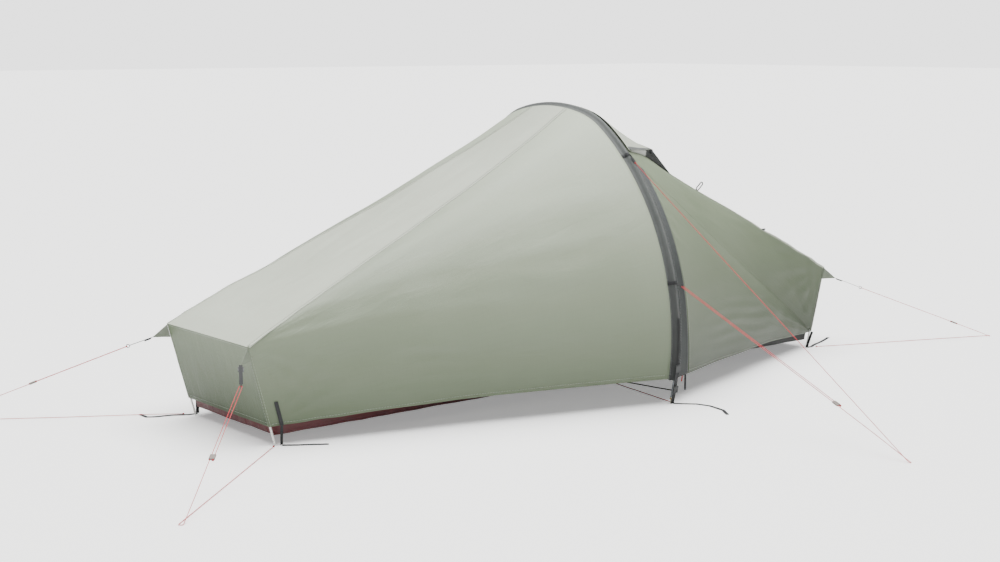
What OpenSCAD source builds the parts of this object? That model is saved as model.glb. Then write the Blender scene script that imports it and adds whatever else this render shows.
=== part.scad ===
// One-person tent with a single hoop, two low end panels on corner struts,
// an outer fly, a hung inner tent with a bathtub floor, and its guylines.
// X runs along the tent towards the head end, Y across it away from the door, Z up.
// The origin lies on the underside of the groundsheet, midway between the strut feet.

/* [Footprint] */
// Distance along the tent between the strut feet of its two ends
foot_span = 2360; // [2200:10:2500]
// Distance across the tent between the two struts of one end
end_w = 480; // [440:5:540]
// Height of the top corners above the ground
corner_h = 302; // [280:1:330]
// How far an end panel leans out at its top corners
end_lean = 82; // [60:1:100]
// Height of the fly's hem at the corners
hem_corner_h = 58; // [50:1:70]
// Height of the fly's hem at the hoop
hem_hoop_h = 84; // [76:1:95]
// How far the hem rises between a corner and the hoop
hem_arch = 14; // [0:1:25]
// How far the roof seams sag between a corner and the hoop
fly_sag = 20; // [10:1:30]
// Distance between the two roof seams at the hoop
seam_w = 180; // [140:5:220]
// Thickness of the fly as modelled
fly_t = 1.5; // [1:0.1:2.5]

/* [Hoop] */
// Distance of the hoop from the middle of the tent
hoop_x = 95; // [0:5:150]
// Widest distance across the pole's centreline
hoop_span = 1220; // [1180:5:1260]
// Height at which the pole is widest
wide_h = 205; // [190:1:220]
// Height of the pole's centreline at the crown
crown_h = 949; // [940:1:960]
// Radius of the pole's legs
leg_r = 834; // [825:1:845]
// Radius of the pole's shoulders
shoulder_r = 294; // [270:1:310]
// Radius of the pole's crown
crown_r = 664; // [640:1:690]
// Outside diameter of the pole
pole_d = 8.5; // [7.5:0.1:9.5]
// Wall of the pole
pole_wall = 0.6; // [0.4:0.1:0.9]
// Wall of the ferrules that join the pole's sections
ferrule_wall = 0.5; // [0.4:0.1:0.8]
// Length of a ferrule
ferrule_len = 60; // [40:5:80]
// Radial clearance between a ferrule and the pole
ferrule_gap = 0.05; // [0.02:0.01:0.1]
// Number of pole sections in each leg
leg_sections = 3; // [2:1:4]
// Diameter of the shock cord inside the pole
shock_d = 3; // [2:0.5:4]
// Width of the pole sleeve
sleeve_w = 42; // [36:1:50]
// Wall of the pole sleeve as modelled
sleeve_t = 1.2; // [0.8:0.1:1.6]
// Clearance between the ferrules and the sleeve
sleeve_gap = 0.4; // [0.3:0.1:1]
// Height at which the sleeve ends above the ground
sleeve_end_h = 80; // [70:1:90]

/* [Door] */
// Width of the flap that covers the zip
flap_w = 46; // [36:1:54]
// How much wider the flap is at the hem
flap_flare = 18; // [8:1:26]
// Height of the top of the door
door_top_h = 775; // [740:5:790]
// Clearance along the door's fold
fold_gap = 1.5; // [1:0.1:3]
// Clearance between the door and the flap
door_gap = 0.6; // [0.4:0.1:1.5]
// Angle to which the door folds back
door_open = 115; // [60:5:120]
// Diameter of the zip's coil
coil_d = 3; // [2:0.5:4]
// Clearance between the zip's coil and its slider
coil_gap = 0.4; // [0.3:0.1:0.8]
// Width of the zip slider
slider_w = 8; // [7:0.5:10]
// Length of the zip slider
slider_len = 13; // [9:1:18]
// Length of the zip puller
puller_len = 28; // [20:1:40]

/* [Vent] */
// Distance that the vent hood reaches out from the hoop's sleeve
hood_reach = 259; // [230:5:290]
// Height of the vent hood's front corners
hood_front_h = 790; // [775:1:800]
// Width of the vent hood's front edge
hood_front_w = 400; // [360:5:430]
// Rise of the vent hood's front edge in its middle
hood_rise = 26; // [10:1:40]
// Height of the vent hood's ends on the sleeve
hood_end_h = 802; // [795:1:815]
// Gap between the vent hood and the roof at the sleeve
hood_gap = 6; // [4:0.5:10]
// Distance from the end panel's top edge to the foot of the vent, along the roof
roof_cut = 0.647; // [0.6:0.005:0.7]

/* [Inner tent] */
// Gap between the fly's end panels and the inner tent
inner_gap = 16; // [10:1:25]
// Distance of the inner tent's near ridge from the middle
inner_ridge = 50; // [30:5:80]
// Height of the bathtub floor's walls
tub_h = 88; // [75:1:100]
// Height of the floor's edge where it is hung
floor_lift = 28; // [15:1:35]
// Width of the floor's sloping border
floor_border = 145; // [120:5:160]
// Distance from the middle to the floor's far edge at the hoop
floor_far = 470; // [430:5:500]
// Thickness of the groundsheet
sheet_t = 1; // [0.8:0.1:2]
// Height of the inner tent's crown
inner_crown_h = 885; // [860:1:900]

/* [Struts and fittings] */
// Diameter of a corner strut
strut_d = 6; // [5:0.5:8]
// Distance from a strut to the fly's corner edge
strut_inset = 5; // [4.5:0.5:8]
// Width of the webbing straps
webbing_w = 15; // [10:1:20]
// Thickness of the webbing
webbing_t = 1.4; // [1:0.1:2]
// Diameter of the guylines
line_d = 2; // [1.6:0.1:3]
// Length of a guyline runner
runner_len = 20; // [14:1:26]
// Width of a guyline runner
runner_w = 17; // [15:1:24]
// Thickness of a guyline runner
runner_t = 6; // [5:0.5:8]
// Clearance of the guyline in its runner
runner_gap = 0.35; // [0.3:0.05:0.8]

/* [Hidden] */
$fn = 32;

// Clearance between parts that are sewn or laid edge to edge
seam = 0.3;
// Points along a fly panel between its end and the hoop, and across it
panel_rows = 12;
panel_cols = 12;

foot_x = foot_span / 2;
half_w = end_w / 2;
edge_y = half_w + strut_inset;
channel_r = pole_d / 2 + ferrule_gap + ferrule_wall + sleeve_gap;
flange = -(channel_r + sleeve_t);
fly_off = flange + sleeve_t;
sleeve_top = channel_r + sleeve_t;

// Centres of the arcs that make the hoop, as distance across and height
leg_c = [leg_r - hoop_span / 2, wide_h];
crown_c = [0, crown_h - crown_r];
shoulder_c = upper_crossing(crown_c, crown_r - shoulder_r, leg_c, leg_r - shoulder_r);
leg_end = bearing(leg_c, shoulder_c);
shoulder_end = bearing(crown_c, shoulder_c);
crown_len = arc_len(crown_r, shoulder_end - 90);
shoulder_len = arc_len(shoulder_r, leg_end - shoulder_end);

function arc_len(r, a) = r * a * PI / 180;
function arc_angle(r, l) = l * 180 / (PI * r);
function dir(a) = [cos(a), sin(a)];
function bearing(a, b) = atan2(b[1] - a[1], b[0] - a[0]);
function mix(a, b, t) = a + (b - a) * t;
function unit(v) = v / norm(v);
function upper_crossing(a, ra, b, rb) =
  let (d = norm(b - a), k = (ra * ra - rb * rb + d * d) / (2 * d), h = sqrt(max(ra * ra - k * k, 0)))
  let (e = (b - a) / d, m = a + e * k, n = [-e[1], e[0]] * h)
  m[1] + n[1] > m[1] - n[1] ? m + n : m - n;

// Point of the near half of the hoop, at a distance s along the pole from its crown
function hoop(s, off) =
  s <= crown_len ? crown_c + (crown_r + off) * dir(90 + arc_angle(crown_r, s))
  : s <= crown_len + shoulder_len
    ? shoulder_c + (shoulder_r + off) * dir(shoulder_end + arc_angle(shoulder_r, s - crown_len))
  : leg_c + (leg_r + off) * dir(leg_end + arc_angle(leg_r, s - crown_len - shoulder_len));
function leg_angle(z, off = 0) = 180 - asin((z - leg_c[1]) / (leg_r + off));
function s_at(z, off = 0) = crown_len + shoulder_len + arc_len(leg_r, leg_angle(z, off) - leg_end);

s_hem = s_at(hem_hoop_h, fly_off);
s_seam = arc_len(crown_r, asin(seam_w / 2 / crown_r));
s_door = s_at(door_top_h, fly_off);

// Fabric panels: rows run from the end (u = 0) to the hoop (u = 1). One of the head end's rows
// is where the roof stops at the vent
vent_rows = 4;
roof_rows = panel_rows - vent_rows;
function head_row(i) = i < roof_rows ? roof_cut * i / roof_rows : mix(roof_cut, 1, (i - roof_rows) / vent_rows);
function panel_row(end, i) = end < 0 ? i / panel_rows : head_row(i);
function edge_x(z) = foot_x + strut_inset + end_lean * z / corner_h;
function edge_h(w) = mix(hem_corner_h, corner_h, w);
function corner_edge(end, across, w) = [end * edge_x(edge_h(w)), across * edge_y, edge_h(w)];
function slump(u) = 6.75 * u * u * (1 - u) * fly_sag;
function arch(u) = 4 * u * (1 - u) * hem_arch;
function sleeve_edge(end, across, s) =
  let (h = hoop(s, fly_off)) [hoop_x + end * (sleeve_w / 2 + seam), -across * h[0], h[1]];
function side_pt(end, across, u, v) =
  mix(corner_edge(end, across, 1 - (1 - v) * (1 - v)), sleeve_edge(end, across, mix(s_hem, s_seam, v)), u)
  + [0, 0, arch(u) * pow(1 - v, 3) - slump(u) * v * v];
function roof_pt(end, u, v) =
  mix([end * edge_x(corner_h), v * edge_y, corner_h], sleeve_edge(end, v < 0 ? -1 : 1, s_seam * abs(v)), u)
  - [0, 0, slump(u)];

// The door is a cone of straight lines that meet at the head end's near bottom corner
door_corner = corner_edge(1, -1, 0);
function door_pt(s, q) =
  mix(sleeve_edge(1, -1, s), door_corner, q)
  + [0, 0, arch(q) * pow((s - s_door) / (s_hem - s_door), 3)];
function upper_pt(u, v) =
  mix(corner_edge(1, -1, mix(fold_gap / (corner_h - hem_corner_h), 1, v)),
    sleeve_edge(1, -1, mix(s_door - fold_gap, s_seam, v)), u)
  - [0, 0, slump(u) * v * v];
sleeve_side = hoop_x + sleeve_w / 2 + seam;
flap_x = sleeve_side + flap_w;
door_reach = door_corner[0] - sleeve_side;
flap_q = flap_w / door_reach;
flare_from_h = 330;
s_flare = s_at(flare_from_h, fly_off);
function flap_edge(s, past = 0) =
  (flap_w + flap_flare * pow(max(0, (s - s_flare) / (s_hem - s_flare)), 2) + past) / door_reach;

// Sheets are thickened towards a line inside the tent, so that neighbours share their edges
core_x = 900;
fly_core = [0, 250];
inner_core = [150, 400];
function inward(p, t, core = fly_core) =
  let (d = [max(-core_x, min(core_x, p[0])), core[0], core[1]] - p) p + d * (t / norm(d));
function before(a, b) = a[0] != b[0] ? a[0] < b[0] : a[1] != b[1] ? a[1] < b[1] : a[2] < b[2];

// Closed sheet of thickness t under a grid of points, whose faces look out with rows
// to the right of columns; flip turns it over
module sheet(g, t, flip = false, core = fly_core) {
  rows = len(g);
  cols = len(g[0]);
  k = rows * cols;
  top = [for (r = g) for (p = r) p];
  low = [for (p = top) inward(p, t, core)];
  skin = [for (i = [0:rows - 2]) for (j = [0:cols - 2])
    let (a = i * cols + j, b = a + 1, c = a + cols, d = c + 1) each [[a, b, d], [a, d, c]]];
  rim = concat(
    [for (j = [0:cols - 2]) [j + 1, j]],
    [for (i = [0:rows - 2]) [i * cols, (i + 1) * cols]],
    [for (j = [0:cols - 2]) [(rows - 1) * cols + j, (rows - 1) * cols + j + 1]],
    [for (i = [0:rows - 2]) [(i + 2) * cols - 1, (i + 1) * cols - 1]]);
  wall = [for (e = rim) let (a = e[0], b = e[1])
    each before(top[a], top[b]) ? [[a, b, b + k], [a, b + k, a + k]] : [[a, b, a + k], [b, b + k, a + k]]];
  faces = concat(skin, [for (f = skin) [f[2] + k, f[1] + k, f[0] + k]], wall);
  polyhedron(concat(top, low), flip ? [for (f = faces) [f[2], f[1], f[0]]] : faces, convexity = 6);
}

module side_sheet(end, across)
  sheet([for (i = [0:panel_rows]) [for (j = [0:panel_cols])
    side_pt(end, across, panel_row(end, i), j / panel_cols)]], fly_t, end * across < 0);

module roof_sheet(end, from, to, cols = 6)
  sheet([for (i = [from:to]) [for (j = [0:cols]) roof_pt(end, panel_row(end, i), 2 * j / cols - 1)]],
    fly_t, end > 0);

module end_sheet(end)
  sheet([for (i = [0:2]) [for (j = [0:2])
    let (c = corner_edge(end, 1, i / 2)) [c[0] + end * seam, (j - 1) * (edge_y - seam), c[2]]]],
    fly_t, end > 0);

// Places a profile, drawn as [radius, distance along X], round a centre of the hoop
module round_centre(c, from, to)
  translate([hoop_x, c[0], c[1]]) rotate([90, 0, 90]) rotate([0, 0, from])
    rotate_extrude(angle = to - from, $fn = 180) children();
module round_leg(from, to) round_centre(leg_c, from, to) children();
module both_sides() {
  children();
  mirror([0, 1, 0]) children();
}
// The shoulders and the crown, with a gap between each two of them
module round_crown(gap = 0) {
  both_sides() round_centre(shoulder_c, shoulder_end + arc_angle(shoulder_r, gap), leg_end)
    translate([shoulder_r, 0]) children();
  round_centre(crown_c, 180 - shoulder_end, shoulder_end) translate([crown_r, 0]) children();
}
module far_side() mirror([0, 1, 0]) children();

// Hoop
tip_h = 22;
section_gap = 0.2;
pole_foot = leg_angle(tip_h);
leg_step = (pole_foot - leg_end) / leg_sections;
module tube(outer, wall) {
  difference() {
    circle(outer);
    circle(outer - wall);
  }
}
module pole_leg() {
  gap_a = arc_angle(leg_r, section_gap / 2);
  for (i = [0:leg_sections - 1])
    round_leg(leg_end + leg_step * i + gap_a, leg_end + leg_step * (i + 1) - (i < leg_sections - 1 ? gap_a : 0))
      translate([leg_r, 0]) tube(pole_d / 2, pole_wall);
}
module pole_leg_near() color("dimgray") pole_leg();
module pole_leg_far() color("dimgray") far_side() pole_leg();
module pole_crown() color("dimgray") round_crown(section_gap) tube(pole_d / 2, pole_wall);
module ferrule_profile() tube(pole_d / 2 + ferrule_gap + ferrule_wall, ferrule_wall);
module pole_ferrules() color("silver") both_sides() {
  half_a = arc_angle(leg_r, ferrule_len / 2);
  for (i = [1:leg_sections - 1])
    round_leg(leg_end + leg_step * i - half_a, leg_end + leg_step * i + half_a)
      translate([leg_r, 0]) ferrule_profile();
  round_leg(leg_end, leg_end + half_a) translate([leg_r, 0]) ferrule_profile();
  round_centre(shoulder_c, leg_end - arc_angle(shoulder_r, ferrule_len / 2), leg_end - 0.02)
    translate([shoulder_r, 0]) ferrule_profile();
}
// Tip: a plug in the pole, a collar, and a pin that stands on the ground
tip_pin_d = 5;
tip_collar_d = 11;
tip_collar_t = 3;
tip_plug_len = 14;
tip_end = leg_c + leg_r * dir(pole_foot);
tip_lean = pole_foot - 180;
tip_pin_len = (tip_end[1] - tip_pin_d / 2) / cos(tip_lean);
module at_tip() translate([hoop_x, tip_end[0], tip_end[1]]) rotate([180 + tip_lean, 0, 0]) children();
module pole_tips() color("wheat") both_sides() at_tip() {
  translate([0, 0, -tip_plug_len]) cylinder(d = pole_d - 2 * pole_wall - 0.2, h = tip_plug_len - 1);
  translate([0, 0, -1]) cylinder(d = pole_d - 2 * pole_wall - 0.2, h = 1 + seam);
  translate([0, 0, seam]) cylinder(d = tip_collar_d, h = tip_collar_t);
  cylinder(d = tip_pin_d, h = tip_pin_len);
  translate([0, 0, tip_pin_len]) sphere(d = tip_pin_d);
}
module shock_cord() color("red") {
  both_sides() round_leg(leg_end + arc_angle(leg_r, section_gap), leg_angle(tip_h + tip_plug_len))
    translate([leg_r, 0]) circle(d = shock_d);
  round_crown(section_gap) circle(d = shock_d);
}

// Sleeve: a flat band with a channel over the pole
sleeve_foot = leg_angle(sleeve_end_h, flange);
// Outline of the sleeve from a base below the pole, and the same line moved out
function sleeve_outline(base, out = 0) =
  let (w = sleeve_w / 2 + out, half = [[base, w], [flange + sleeve_t + out, w],
    [-0.65 * channel_r + out, 1.75 * channel_r + out], [0.62 * channel_r + out, 1.1 * channel_r + out],
    [sleeve_top + out, 0.4 * channel_r + out]])
  concat(half, [for (i = [len(half) - 1:-1:0]) [half[i][0], -half[i][1]]]);
module sleeve_profile() difference() {
  polygon(sleeve_outline(flange));
  circle(channel_r);
}
module sleeve_near() color("slategray") round_leg(leg_end, sleeve_foot) translate([leg_r, 0]) sleeve_profile();
module sleeve_far() color("slategray") far_side() round_leg(leg_end, sleeve_foot)
  translate([leg_r, 0]) sleeve_profile();
module sleeve_crown() color("slategray") round_crown(section_gap) sleeve_profile();

// Straight bar between two points, w wide across the direction flat and t thick
module aim(a, b) {
  d = b - a;
  translate(a) rotate([0, acos(d[2] / norm(d)), atan2(d[1], d[0])]) children();
}
module bar(a, b, w, t) aim(a, b) translate([-t / 2, -w / 2, 0]) cube([t, w, norm(b - a)]);
module rod(a, b, d) aim(a, b) cylinder(d = d, h = norm(b - a));

// Corner struts stand on the ground and reach up into the top corners
strut_top_gap = 14;
function strut_pt(end, across, z) = [end * (foot_x + end_lean * z / corner_h), across * half_w, z];
module corners() for (end = [-1, 1]) for (across = [-1, 1]) {
  $end = end;
  $across = across;
  children();
}
module corner_struts() color("silver") corners() {
  rod(strut_pt($end, $across, strut_d / 2), strut_pt($end, $across, corner_h - strut_top_gap), strut_d);
  translate(strut_pt($end, $across, strut_d / 2)) sphere(d = strut_d);
}

// Fly
module side_foot_near() color("darkseagreen") side_sheet(-1, -1);
module side_foot_far() color("darkseagreen") side_sheet(-1, 1);
module side_head_far() color("darkseagreen") side_sheet(1, 1);
module roof_foot() color("honeydew") roof_sheet(-1, 0, panel_rows);
module roof_head() color("honeydew") roof_sheet(1, 0, roof_rows);
module end_foot() color("darkseagreen") end_sheet(-1);
module end_head() color("darkseagreen") end_sheet(1);
module side_head_upper() color("darkseagreen")
  sheet([for (i = [0:panel_rows]) [for (j = [0:5]) upper_pt(head_row(i), j / 5)]], fly_t, true);

// Door, its flap and its zip
door_tip = 0.985;
zip_tape_w = 9;
zip_tape_t = 0.6;
function door_s(j, low) = mix(s_hem, s_door + low, j / panel_cols);
module door() color("darkseagreen")
  sheet([for (i = [0:panel_rows]) [for (j = [0:panel_cols]) let (s = door_s(j, fold_gap))
    door_pt(s, mix(door_tip, flap_edge(s, door_gap), i / panel_rows))]], fly_t, true);
module zip_flap() color("gray")
  sheet([for (i = [0, 1]) [for (j = [0:panel_cols]) let (s = door_s(j, 0))
    door_pt(s, mix(flap_edge(s), 0, i))]], fly_t, true);
module door_zip_tape() color("dimgray")
  sheet([for (i = [0, 1]) [for (j = [0:panel_cols]) let (s = door_s(j, 4 * fold_gap))
    inward(door_pt(s, flap_edge(s, mix(zip_tape_w, door_gap, i))), fly_t + seam)]], zip_tape_t, true);

// The zip follows a circle about the point where the leg's centre lies on the way to the corner
slider_wall = 1;
slider_t = coil_d + 2 * (coil_gap + slider_wall);
zip_c = mix(leg_c, [door_corner[1], door_corner[2]], flap_q);
zip_r = (leg_r + fly_off) * (1 - flap_q) - fly_t - seam * 3 - slider_t / 2;
zip_x = flap_x - slider_w / 2 - hoop_x;
zip_low = 180 - asin((hem_hoop_h + 4 - zip_c[1]) / zip_r);
zip_high = 180 - asin((door_top_h - 6 - zip_c[1]) / zip_r);
module round_zip(from, to) round_centre(zip_c, from, to) translate([zip_r, zip_x]) children();
module zip_coil() color("black") round_zip(zip_high, zip_low) circle(d = coil_d);
module zip_slider() color("dimgray")
  round_zip(zip_low - arc_angle(zip_r, slider_len + 2), zip_low - arc_angle(zip_r, 2)) difference() {
    square([slider_t, slider_w], center = true);
    circle(d = coil_d + 2 * coil_gap);
  }
puller_w = 5;
puller_t = 1.2;
module zip_puller() color("crimson")
  round_zip(zip_low - arc_angle(zip_r, 2 - seam), zip_low + arc_angle(zip_r, puller_len))
    translate([-slider_t / 2, slider_w / 2 - puller_w]) square([puller_t, puller_w]);

// Vent: a hood over the head side of the crown, closed by gussets and a mesh front
s_hood = s_at(hood_end_h, fly_off);
vent_t = 1;
hood_x = hoop_x + sleeve_w / 2 + hood_reach;
function hood_back(a) =
  let (h = hoop(s_hood * abs(a), fly_off + fly_t + hood_gap))
  [hoop_x + sleeve_w / 2 + seam, (a < 0 ? 1 : -1) * h[0], h[1]];
function hood_front(a) = [hood_x, a * hood_front_w / 2, hood_front_h + hood_rise * (1 - a * a)];
function hood_foot(a) = roof_pt(1, roof_cut, a) + [0, 0, vent_t + seam];
s_upper = (s_door - fold_gap - s_hood) / (s_door - fold_gap - s_seam);
v_far = (s_hem - s_hood) / (s_hem - s_seam);
function gusset_foot(across, k) =
  let (u = mix(1, roof_cut, k), p = across < 0 ? upper_pt(u, mix(s_upper, 1, k)) : side_pt(1, 1, u, mix(v_far, 1, k)))
  inward(p, -vent_t - seam);
module vent_hood() color("honeydew")
  sheet([for (i = [0:8]) [for (j = [0:16]) mix(hood_front(j / 8 - 1), hood_back(j / 8 - 1), i / 8)]], fly_t, true);
module vent_front_mesh() color("black")
  sheet([for (i = [0:2]) [for (j = [0:8])
    mix(hood_foot(j / 4 - 1), hood_front(j / 4 - 1) - [0, 0, fly_t + seam * 2], i / 2)]], vent_t, true);
gusset_start = 0.06;
gusset_end = 0.965;
module vent_gussets() color("silver") for (across = [-1, 1])
  sheet([for (i = [0:10]) let (k = mix(gusset_start, gusset_end, i / 10)) [for (j = [0:2])
    mix(gusset_foot(across, k), mix(hood_back(across), hood_front(across), k) - [0, 0, fly_t + seam * 2], j / 2)]],
    vent_t, across > 0, [0, hood_front_h]);
module vent_window_mesh() color("black") roof_sheet(1, roof_rows, panel_rows);
stiff_h = 14;
stiff_t = 3;
stiff_lean = 0.36;
function stiff_pt(across, k, drop) =
  let (e = hood_front(across) - hood_back(across), out = unit([abs(e[1]), across * e[0], 0]))
  mix(hood_back(across), hood_front(across), k) + out * (stiff_t / 2 + seam + stiff_lean * drop) - [0, 0, drop];
module vent_stiffener() color("black") for (across = [-1, 1])
  slab([stiff_pt(across, 0.87, 0), stiff_pt(across, 0.97, 0), stiff_pt(across, 0.97, stiff_h),
    stiff_pt(across, 0.87, stiff_h)], stiff_t);

// Inner tent
inner_t = 0.8;
inner_w = half_w - 8;
inner_top = corner_h - 40;
door_gap_in = 2;
inner_near = [[-inner_w + 10, tub_h], [-inner_ridge, inner_crown_h]];
inner_far = [[485, tub_h], [512, 200], [520, 340], [495, 510], [440, 650], [350, 765], [250, 840],
  [150, inner_crown_h]];
function along(line, v) = let (k = v * (len(line) - 1), i = min(floor(k), len(line) - 2)) mix(line[i], line[i + 1], k - i);
function inner_hoop(across, v) = let (p = along(across < 0 ? inner_near : inner_far, v)) [hoop_x, p[0], p[1]];
function inner_edge(end, across, z) = [end * (edge_x(z) - inner_gap), across * inner_w, z];
function inner_side(end, across, u, v) = mix(inner_edge(end, across, mix(tub_h, inner_top, v)), inner_hoop(across, v), u);
module inner_sheet(g, flip) sheet(g, inner_t, flip, inner_core);
module inner_side_sheet(end, across, cols)
  inner_sheet([for (i = [0:4]) [for (j = [0:cols]) inner_side(end, across, i / 4, j / cols)]], end * across < 0);
module inner_roof_sheet(end)
  inner_sheet([for (i = [0:4]) [for (j = [0:2])
    mix(inner_side(end, -1, i / 4, 1), inner_side(end, 1, i / 4, 1), j / 2)]], end > 0);
module inner_side_foot_near() color("ivory") inner_side_sheet(-1, -1, 4);
module inner_side_foot_far() color("ivory") inner_side_sheet(-1, 1, 7);
module inner_side_head_far() color("ivory") inner_side_sheet(1, 1, 7);
module inner_roof_foot() color("ivory") inner_roof_sheet(-1);
module inner_roof_head() color("ivory") inner_roof_sheet(1);
module inner_ends() color("ivory") for (end = [-1, 1])
  inner_sheet([for (i = [0, 1]) [for (j = [0, 1])
    inner_edge(end, (2 * j - 1) * (1 - seam / inner_w), mix(tub_h, inner_top, i)) + [end * seam, 0, 0]]], end > 0);

// The inner door folds along a straight line from the crown to the head end
inner_corner = inner_edge(1, -1, tub_h + door_gap_in);
function inner_door_pt(v, q) = mix(mix(inner_hoop(-1, 0) + [0, 0, door_gap_in],
  inner_hoop(-1, 0.97), v), inner_corner, q);
module inner_door() color("ivory")
  inner_sheet([for (i = [0:4]) [for (j = [0:4]) inner_door_pt(j / 4, mix(door_tip, 0.002, i / 4))]], true);
module inner_side_head_upper() color("ivory")
  inner_sheet([for (i = [0:4]) [for (j = [0:2])
    mix(inner_edge(1, -1, mix(tub_h + 1.6 * door_gap_in, inner_top, j / 2)), inner_hoop(-1, mix(0.9717, 1, j / 2)), i / 4)]],
    true);

// Bathtub floor: a flat sheet, with borders and walls that rise round it
near_edge = -inner_w - 3;
function floor_corner(end, across, level) =
  level == 0 ? [end * (edge_x(0) - inner_gap - floor_border), across * (inner_w - floor_border), 0]
  : inner_edge(end, across, level == 1 ? floor_lift : tub_h);
function floor_middle(across, level) =
  level == 0 ? [hoop_x, across < 0 ? near_edge + floor_border : floor_far - floor_border, 0]
  : level == 1 ? [hoop_x, across < 0 ? near_edge : floor_far, floor_lift]
  : inner_hoop(across, 0);
module tub_side_walls() color("firebrick") for (across = [-1, 1])
  sheet([for (k = [-1:1]) [for (level = [0:2])
    k == 0 ? floor_middle(across, level) : floor_corner(k, across, level)]], sheet_t, across > 0, inner_core);
module tub_end_walls() color("firebrick") for (end = [-1, 1])
  sheet([for (level = [0:2]) [for (across = [-1, 1])
    let (c = floor_corner(end, across, level)) [c[0] + end * seam, c[1] - across * seam, c[2]]]],
    sheet_t, end > 0, inner_core);
module groundsheet() color("firebrick") linear_extrude(sheet_t) {
  rim = [for (p = [floor_corner(-1, -1, 0), floor_middle(-1, 0), floor_corner(1, -1, 0),
    floor_corner(1, 1, 0), floor_middle(1, 0), floor_corner(-1, 1, 0)]) [p[0], p[1]]];
  polygon([for (p = rim) p - [sign(p[0] - hoop_x) * sheet_t, sign(p[1]) * sheet_t]]);
}

// Hangers between the inner tent and the sleeve
hanger_w = 12;
function sleeve_under(y) =
  let (r = crown_r + flange - seam) [hoop_x, y, crown_c[1] + sqrt(r * r - pow(abs(y) + hanger_w / 2, 2))];
module inner_hangers() color("black") {
  for (y = [-inner_ridge, inner_ridge, 3 * inner_ridge])
    bar([hoop_x, y, inner_crown_h + seam], sleeve_under(y), hanger_w, 1);
  for (k = [1:3]) {
    q = along(inner_far, k / 7);
    r = leg_r + flange - seam;
    bar([hoop_x, q[0] + seam, q[1]], [hoop_x, sqrt(r * r - pow(q[1] - leg_c[1], 2)) - leg_c[0], q[1]], hanger_w, 1);
  }
}

// Routes of the guylines. Each starts at its knot under the runner, runs up the doubled part,
// turns in a ring, comes down through the runner and turns round its point on the ground
guyline_foot_near_route = [[-1565.5, -580, 95], [-1342.5, -345, 214], [-1341.5, -342, 215],
  [-1343, -339, 215.5], [-1346, -338, 215], [-1349, -339, 214], [-1572, -574, 95], [-1660, -667, 47],
  [-1738, -749, 6], [-1746, -757, 2], [-1750, -759, 1.5], [-1754.5, -757.5, 1.5], [-1756.5, -753, 1.5],
  [-1755, -749, 1.5], [-1600, -613, 1.5], [-1400, -437, 1.5], [-1250, -305, 1.5], [-1196, -257.5, 2]];
guyline_foot_far_route = [[-1600, 513.5, 113], [-1363.5, 331, 228], [-1362, 328, 229],
  [-1363, 325, 229.5], [-1366, 323, 229], [-1369, 324, 228], [-1605.5, 506.5, 113], [-1720, 594.5, 57.5],
  [-1826, 676, 6], [-1835, 683, 2], [-1839.5, 684, 1.5], [-1843.5, 682, 1.5], [-1844.5, 677.5, 1.5],
  [-1842.5, 673.5, 1.5], [-1700, 584, 1.5], [-1500, 458, 1.5], [-1300, 332, 3.2], [-1208, 274, 2]];
guyline_head_near_route = [[1770.5, -500.5, 61], [1402, -324, 216], [1400, -321.5, 217],
  [1400, -318, 217.5], [1402.5, -316, 217], [1406, -316, 216], [1774.5, -492.5, 61], [1840, -524, 33.5],
  [1904, -554, 6], [1914, -559, 2], [1918.5, -559.5, 1.5], [1922, -556, 1.5], [1922.5, -551.5, 1.5],
  [1919.5, -548.5, 1.5], [1700, -462.5, 1.5], [1500, -384, 1.5], [1300, -305.5, 1.5], [1208, -269.5, 2]];
guyline_hoop_route = [[109, -1258, 114], [109, -623, 385], [107.5, -620, 386.5], [104.5, -619, 387],
  [101.5, -620, 386.5], [100, -623, 385], [100, -1258, 114], [99, -1400, 53.5], [96, -1509, 6.5],
  [96, -1519, 2.5], [95, -1523, 1.5], [92, -1524, 1.5], [89, -1523, 2], [88, -1519, 4], [88, -1508, 11],
  [90, -1300, 153.5], [93, -1000, 359], [96, -700, 564], [98.5, -450, 735], [99, -405, 767.4]];
line_sides = 8;

// Cord swept along a route
module cord(route, d) {
  n = len(route) - 1;
  tangent = [for (i = [0:n]) unit(route[min(i + 1, n)] - route[max(i - 1, 0)])];
  ring = [for (i = [0:n])
    let (a = unit(cross(tangent[i], abs(tangent[i][2]) < 0.9 ? [0, 0, 1] : [1, 0, 0])), b = cross(tangent[i], a))
    for (k = [0:line_sides - 1]) route[i] + (a * cos(360 * k / line_sides) + b * sin(360 * k / line_sides)) * d / 2];
  skin = [for (i = [0:n - 1]) for (k = [0:line_sides - 1])
    let (a = i * line_sides + k, b = i * line_sides + (k + 1) % line_sides)
    each [[a, b, b + line_sides], [a, b + line_sides, a + line_sides]]];
  start = [for (k = [line_sides - 1:-1:0]) k];
  end = [for (k = [0:line_sides - 1]) n * line_sides + k];
  polyhedron(ring, concat(skin, [start, end]), convexity = 8);
}
module guyline(route) color("red") cord(route, line_d);
module guyline_foot_near() guyline(guyline_foot_near_route);
module guyline_foot_far() guyline(guyline_foot_far_route);
module guyline_head_near() guyline(guyline_head_near_route);
module guyline_hoop() guyline(guyline_hoop_route);

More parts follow.
